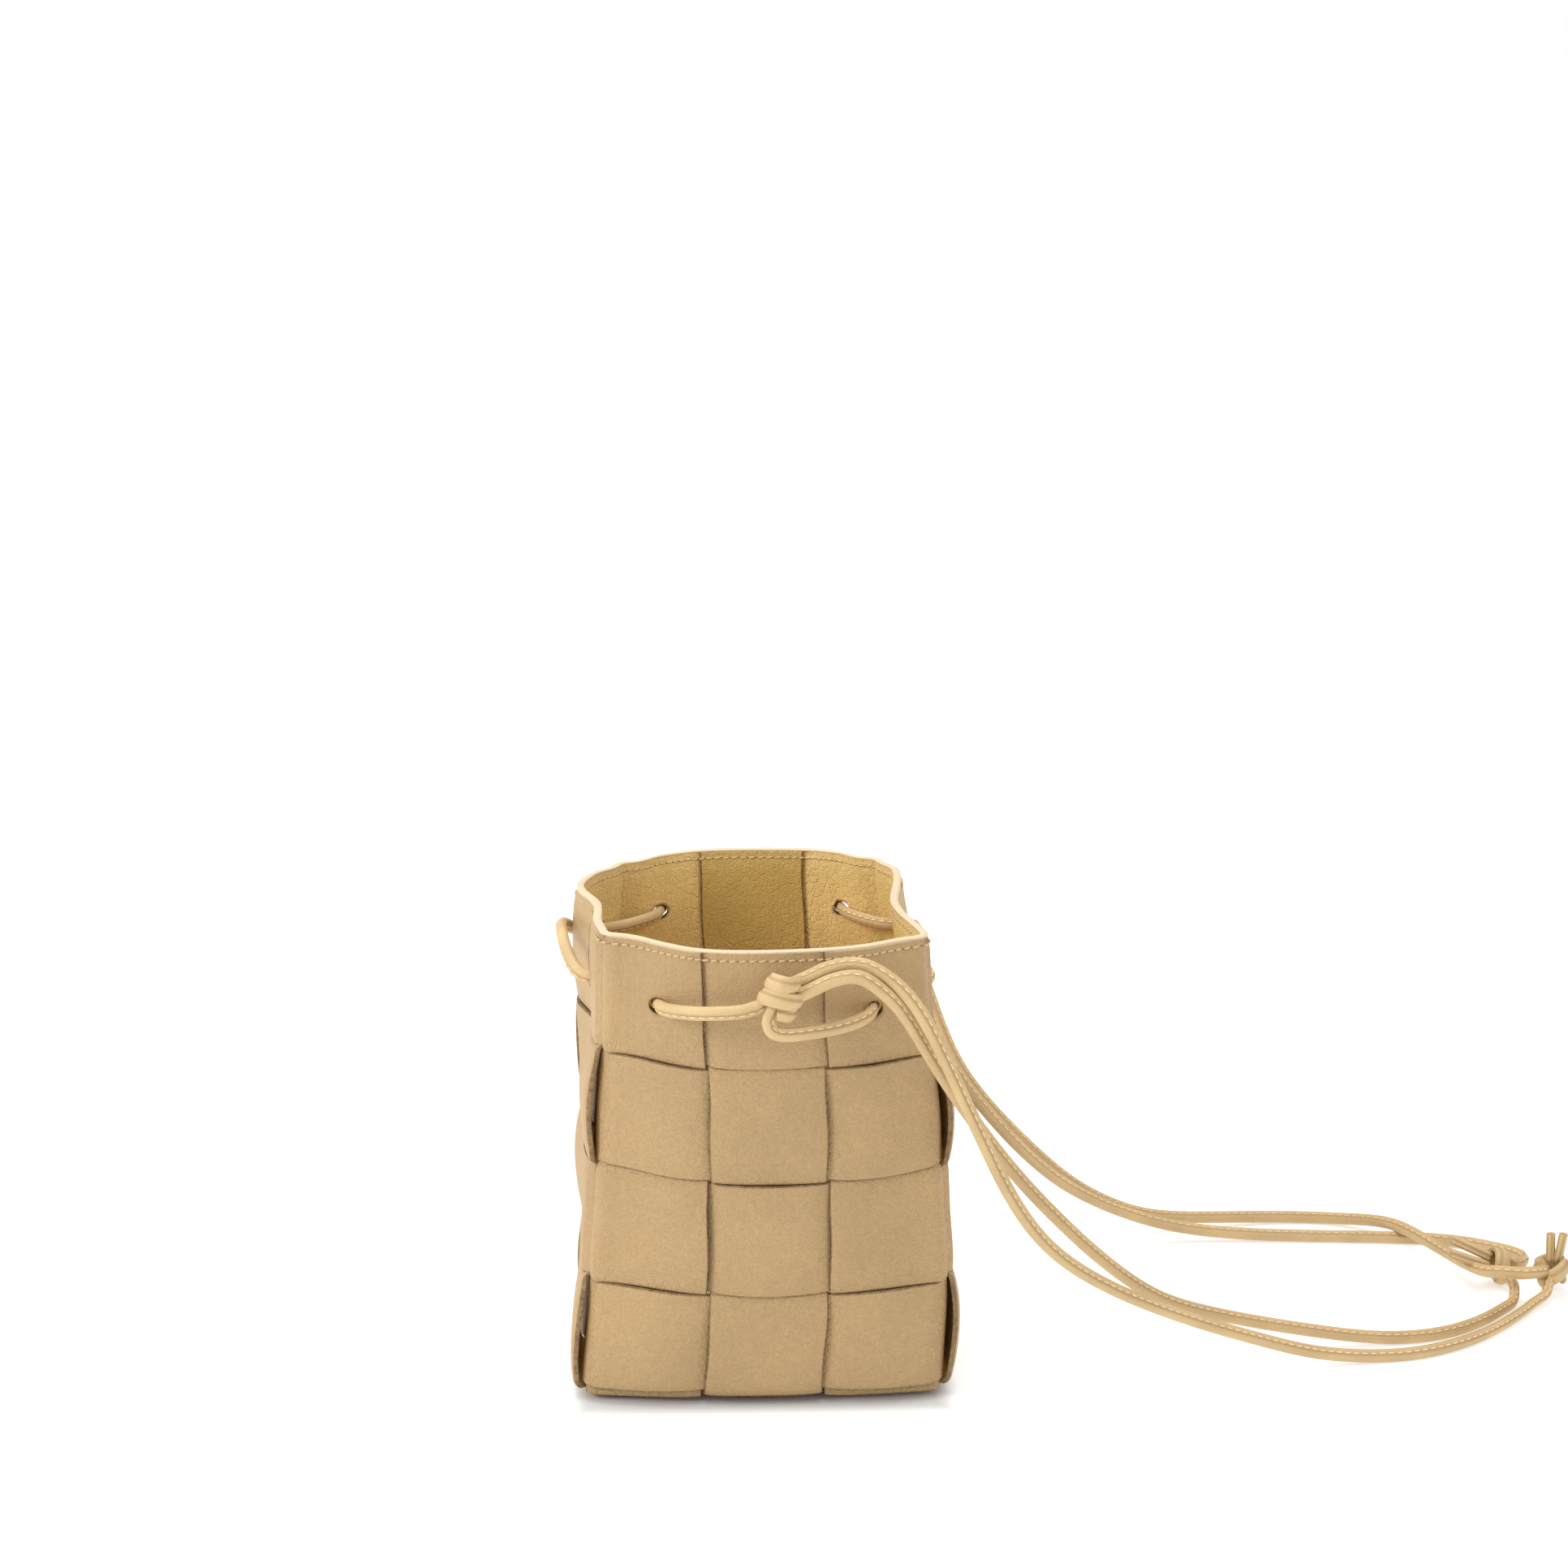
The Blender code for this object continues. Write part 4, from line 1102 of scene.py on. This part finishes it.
class BAG_OT_stage(bpy.types.Operator):
    """Sets the floor, with a painted contact shadow round the bag, the soft light and the camera"""

    bl_idname = "bag.stage"
    bl_label = "Stage"

    def execute(self, context):
        scene = context.scene
        mesh = bpy.data.meshes.new("floor")
        mesh.from_pydata([(-3, -3, 0), (3, -3, 0), (3, 3, 0), (-3, 3, 0)], [], [(0, 1, 2, 3)])
        paint, shader, w = new_material("floor_paint")
        spot = w.node("ShaderNodeTexCoord", out=3)
        x, y = (w.math("ABSOLUTE", w.node("ShaderNodeSeparateXYZ", {0: spot}, out=i)) for i in (0, 1))
        # The floor glows: not at all within a narrow band round the bag, which is a painted contact shadow,
        # then 0.45, rising to full white far off so that the floor reads evenly white.
        reach = w.math("MAXIMUM", x + 0.005, y)
        near = reach.ramp(0.067, 0.077).mix((0.0, 0.0, 0.0, 1.0), (0.45, 0.45, 0.45, 1.0))
        glow = reach.ramp(0.35, 1.6).mix(near, (1.0, 1.0, 1.0, 1.0))
        w.feed(shader.inputs["Emission Color"], glow)
        shader.inputs["Base Color"].default_value = (0.70, 0.70, 0.70, 1.0)
        shader.inputs["Roughness"].default_value = 0.9
        shader.inputs["Specular IOR Level"].default_value = 0.0
        shader.inputs["Emission Strength"].default_value = 1.0
        mesh.materials.append(paint)
        floor = bpy.data.objects.new("floor", mesh)
        scene.collection.objects.link(floor)

        world = bpy.data.worlds.new("studio")
        scene.world = world
        world.use_nodes = True
        sky = Wire(world.node_tree)
        soft = sky.node("ShaderNodeBackground", {"Color": (1, 1, 1, 1), "Strength": 0.67})
        white = sky.node("ShaderNodeBackground", {"Color": (1, 1, 1, 1), "Strength": 1.0})
        seen = sky.node("ShaderNodeLightPath", out=0)
        both = sky.node("ShaderNodeMixShader", {0: seen, 1: soft, 2: white})
        sky.feed(world.node_tree.nodes["World Output"].inputs["Surface"], both)

        for name, place, size, power in (
            ("key", (-1.45, -0.60, 1.00), 0.7, 15.0),
            ("fill", (1.3, -0.5, 0.9), 1.4, 4.4),
            ("top", (-0.1, 0.15, 1.5), 1.1, 14.0),
        ):
            lamp = bpy.data.lights.new(name, "AREA")
            lamp.size = size
            lamp.energy = power
            made = bpy.data.objects.new(name, lamp)
            scene.collection.objects.link(made)
            made.location = place
            aim = Vector((0.05, 0.0, 0.06)) - made.location
            made.rotation_euler = aim.to_track_quat("-Z", "Y").to_euler()

        lens = bpy.data.cameras.new("camera")
        lens.lens = 63.35
        lens.sensor_width = 36.0
        lens.clip_start = 0.01
        camera = bpy.data.objects.new("camera", lens)
        scene.collection.objects.link(camera)
        camera.location = (-0.0269, -0.9752, 0.4477)
        pitch, yaw = math.radians(13.54), math.radians(2.17)
        ahead = Vector(
            (math.sin(yaw) * math.cos(pitch), math.cos(yaw) * math.cos(pitch), -math.sin(pitch))
        )
        camera.rotation_euler = ahead.to_track_quat("-Z", "Y").to_euler()
        scene.camera = camera
        scene.view_settings.view_transform = "Standard"
        return {"FINISHED"}


class BAG_PT_panel(bpy.types.Panel):
    """Lists the sizes, the colours and the steps"""

    bl_idname = "BAG_PT_panel"
    bl_label = "Woven bucket bag"
    bl_space_type = "VIEW_3D"
    bl_region_type = "UI"
    bl_category = "Bag"

    def draw(self, context):
        for group in (context.scene.bag_sizes, context.scene.bag_colours):
            for key in group.__annotations__:
                self.layout.prop(group, key)
        for step in STEPS:
            self.layout.operator(step.bl_idname)


STEPS = (BAG_OT_body, BAG_OT_rim, BAG_OT_knots, BAG_OT_cords, BAG_OT_stage)
CLASSES = (BagSizes, BagColours, *STEPS, BAG_PT_panel)


def register():
    for made in CLASSES:
        bpy.utils.register_class(made)
    bpy.types.Scene.bag_sizes = bpy.props.PointerProperty(type=BagSizes)
    bpy.types.Scene.bag_colours = bpy.props.PointerProperty(type=BagColours)


def unregister():
    del bpy.types.Scene.bag_colours
    del bpy.types.Scene.bag_sizes
    for made in reversed(CLASSES):
        bpy.utils.unregister_class(made)


def main():
    register()
    for step in STEPS:
        group, name = step.bl_idname.split(".")
        getattr(getattr(bpy.ops, group), name)()


if __name__ == "__main__":
    main()
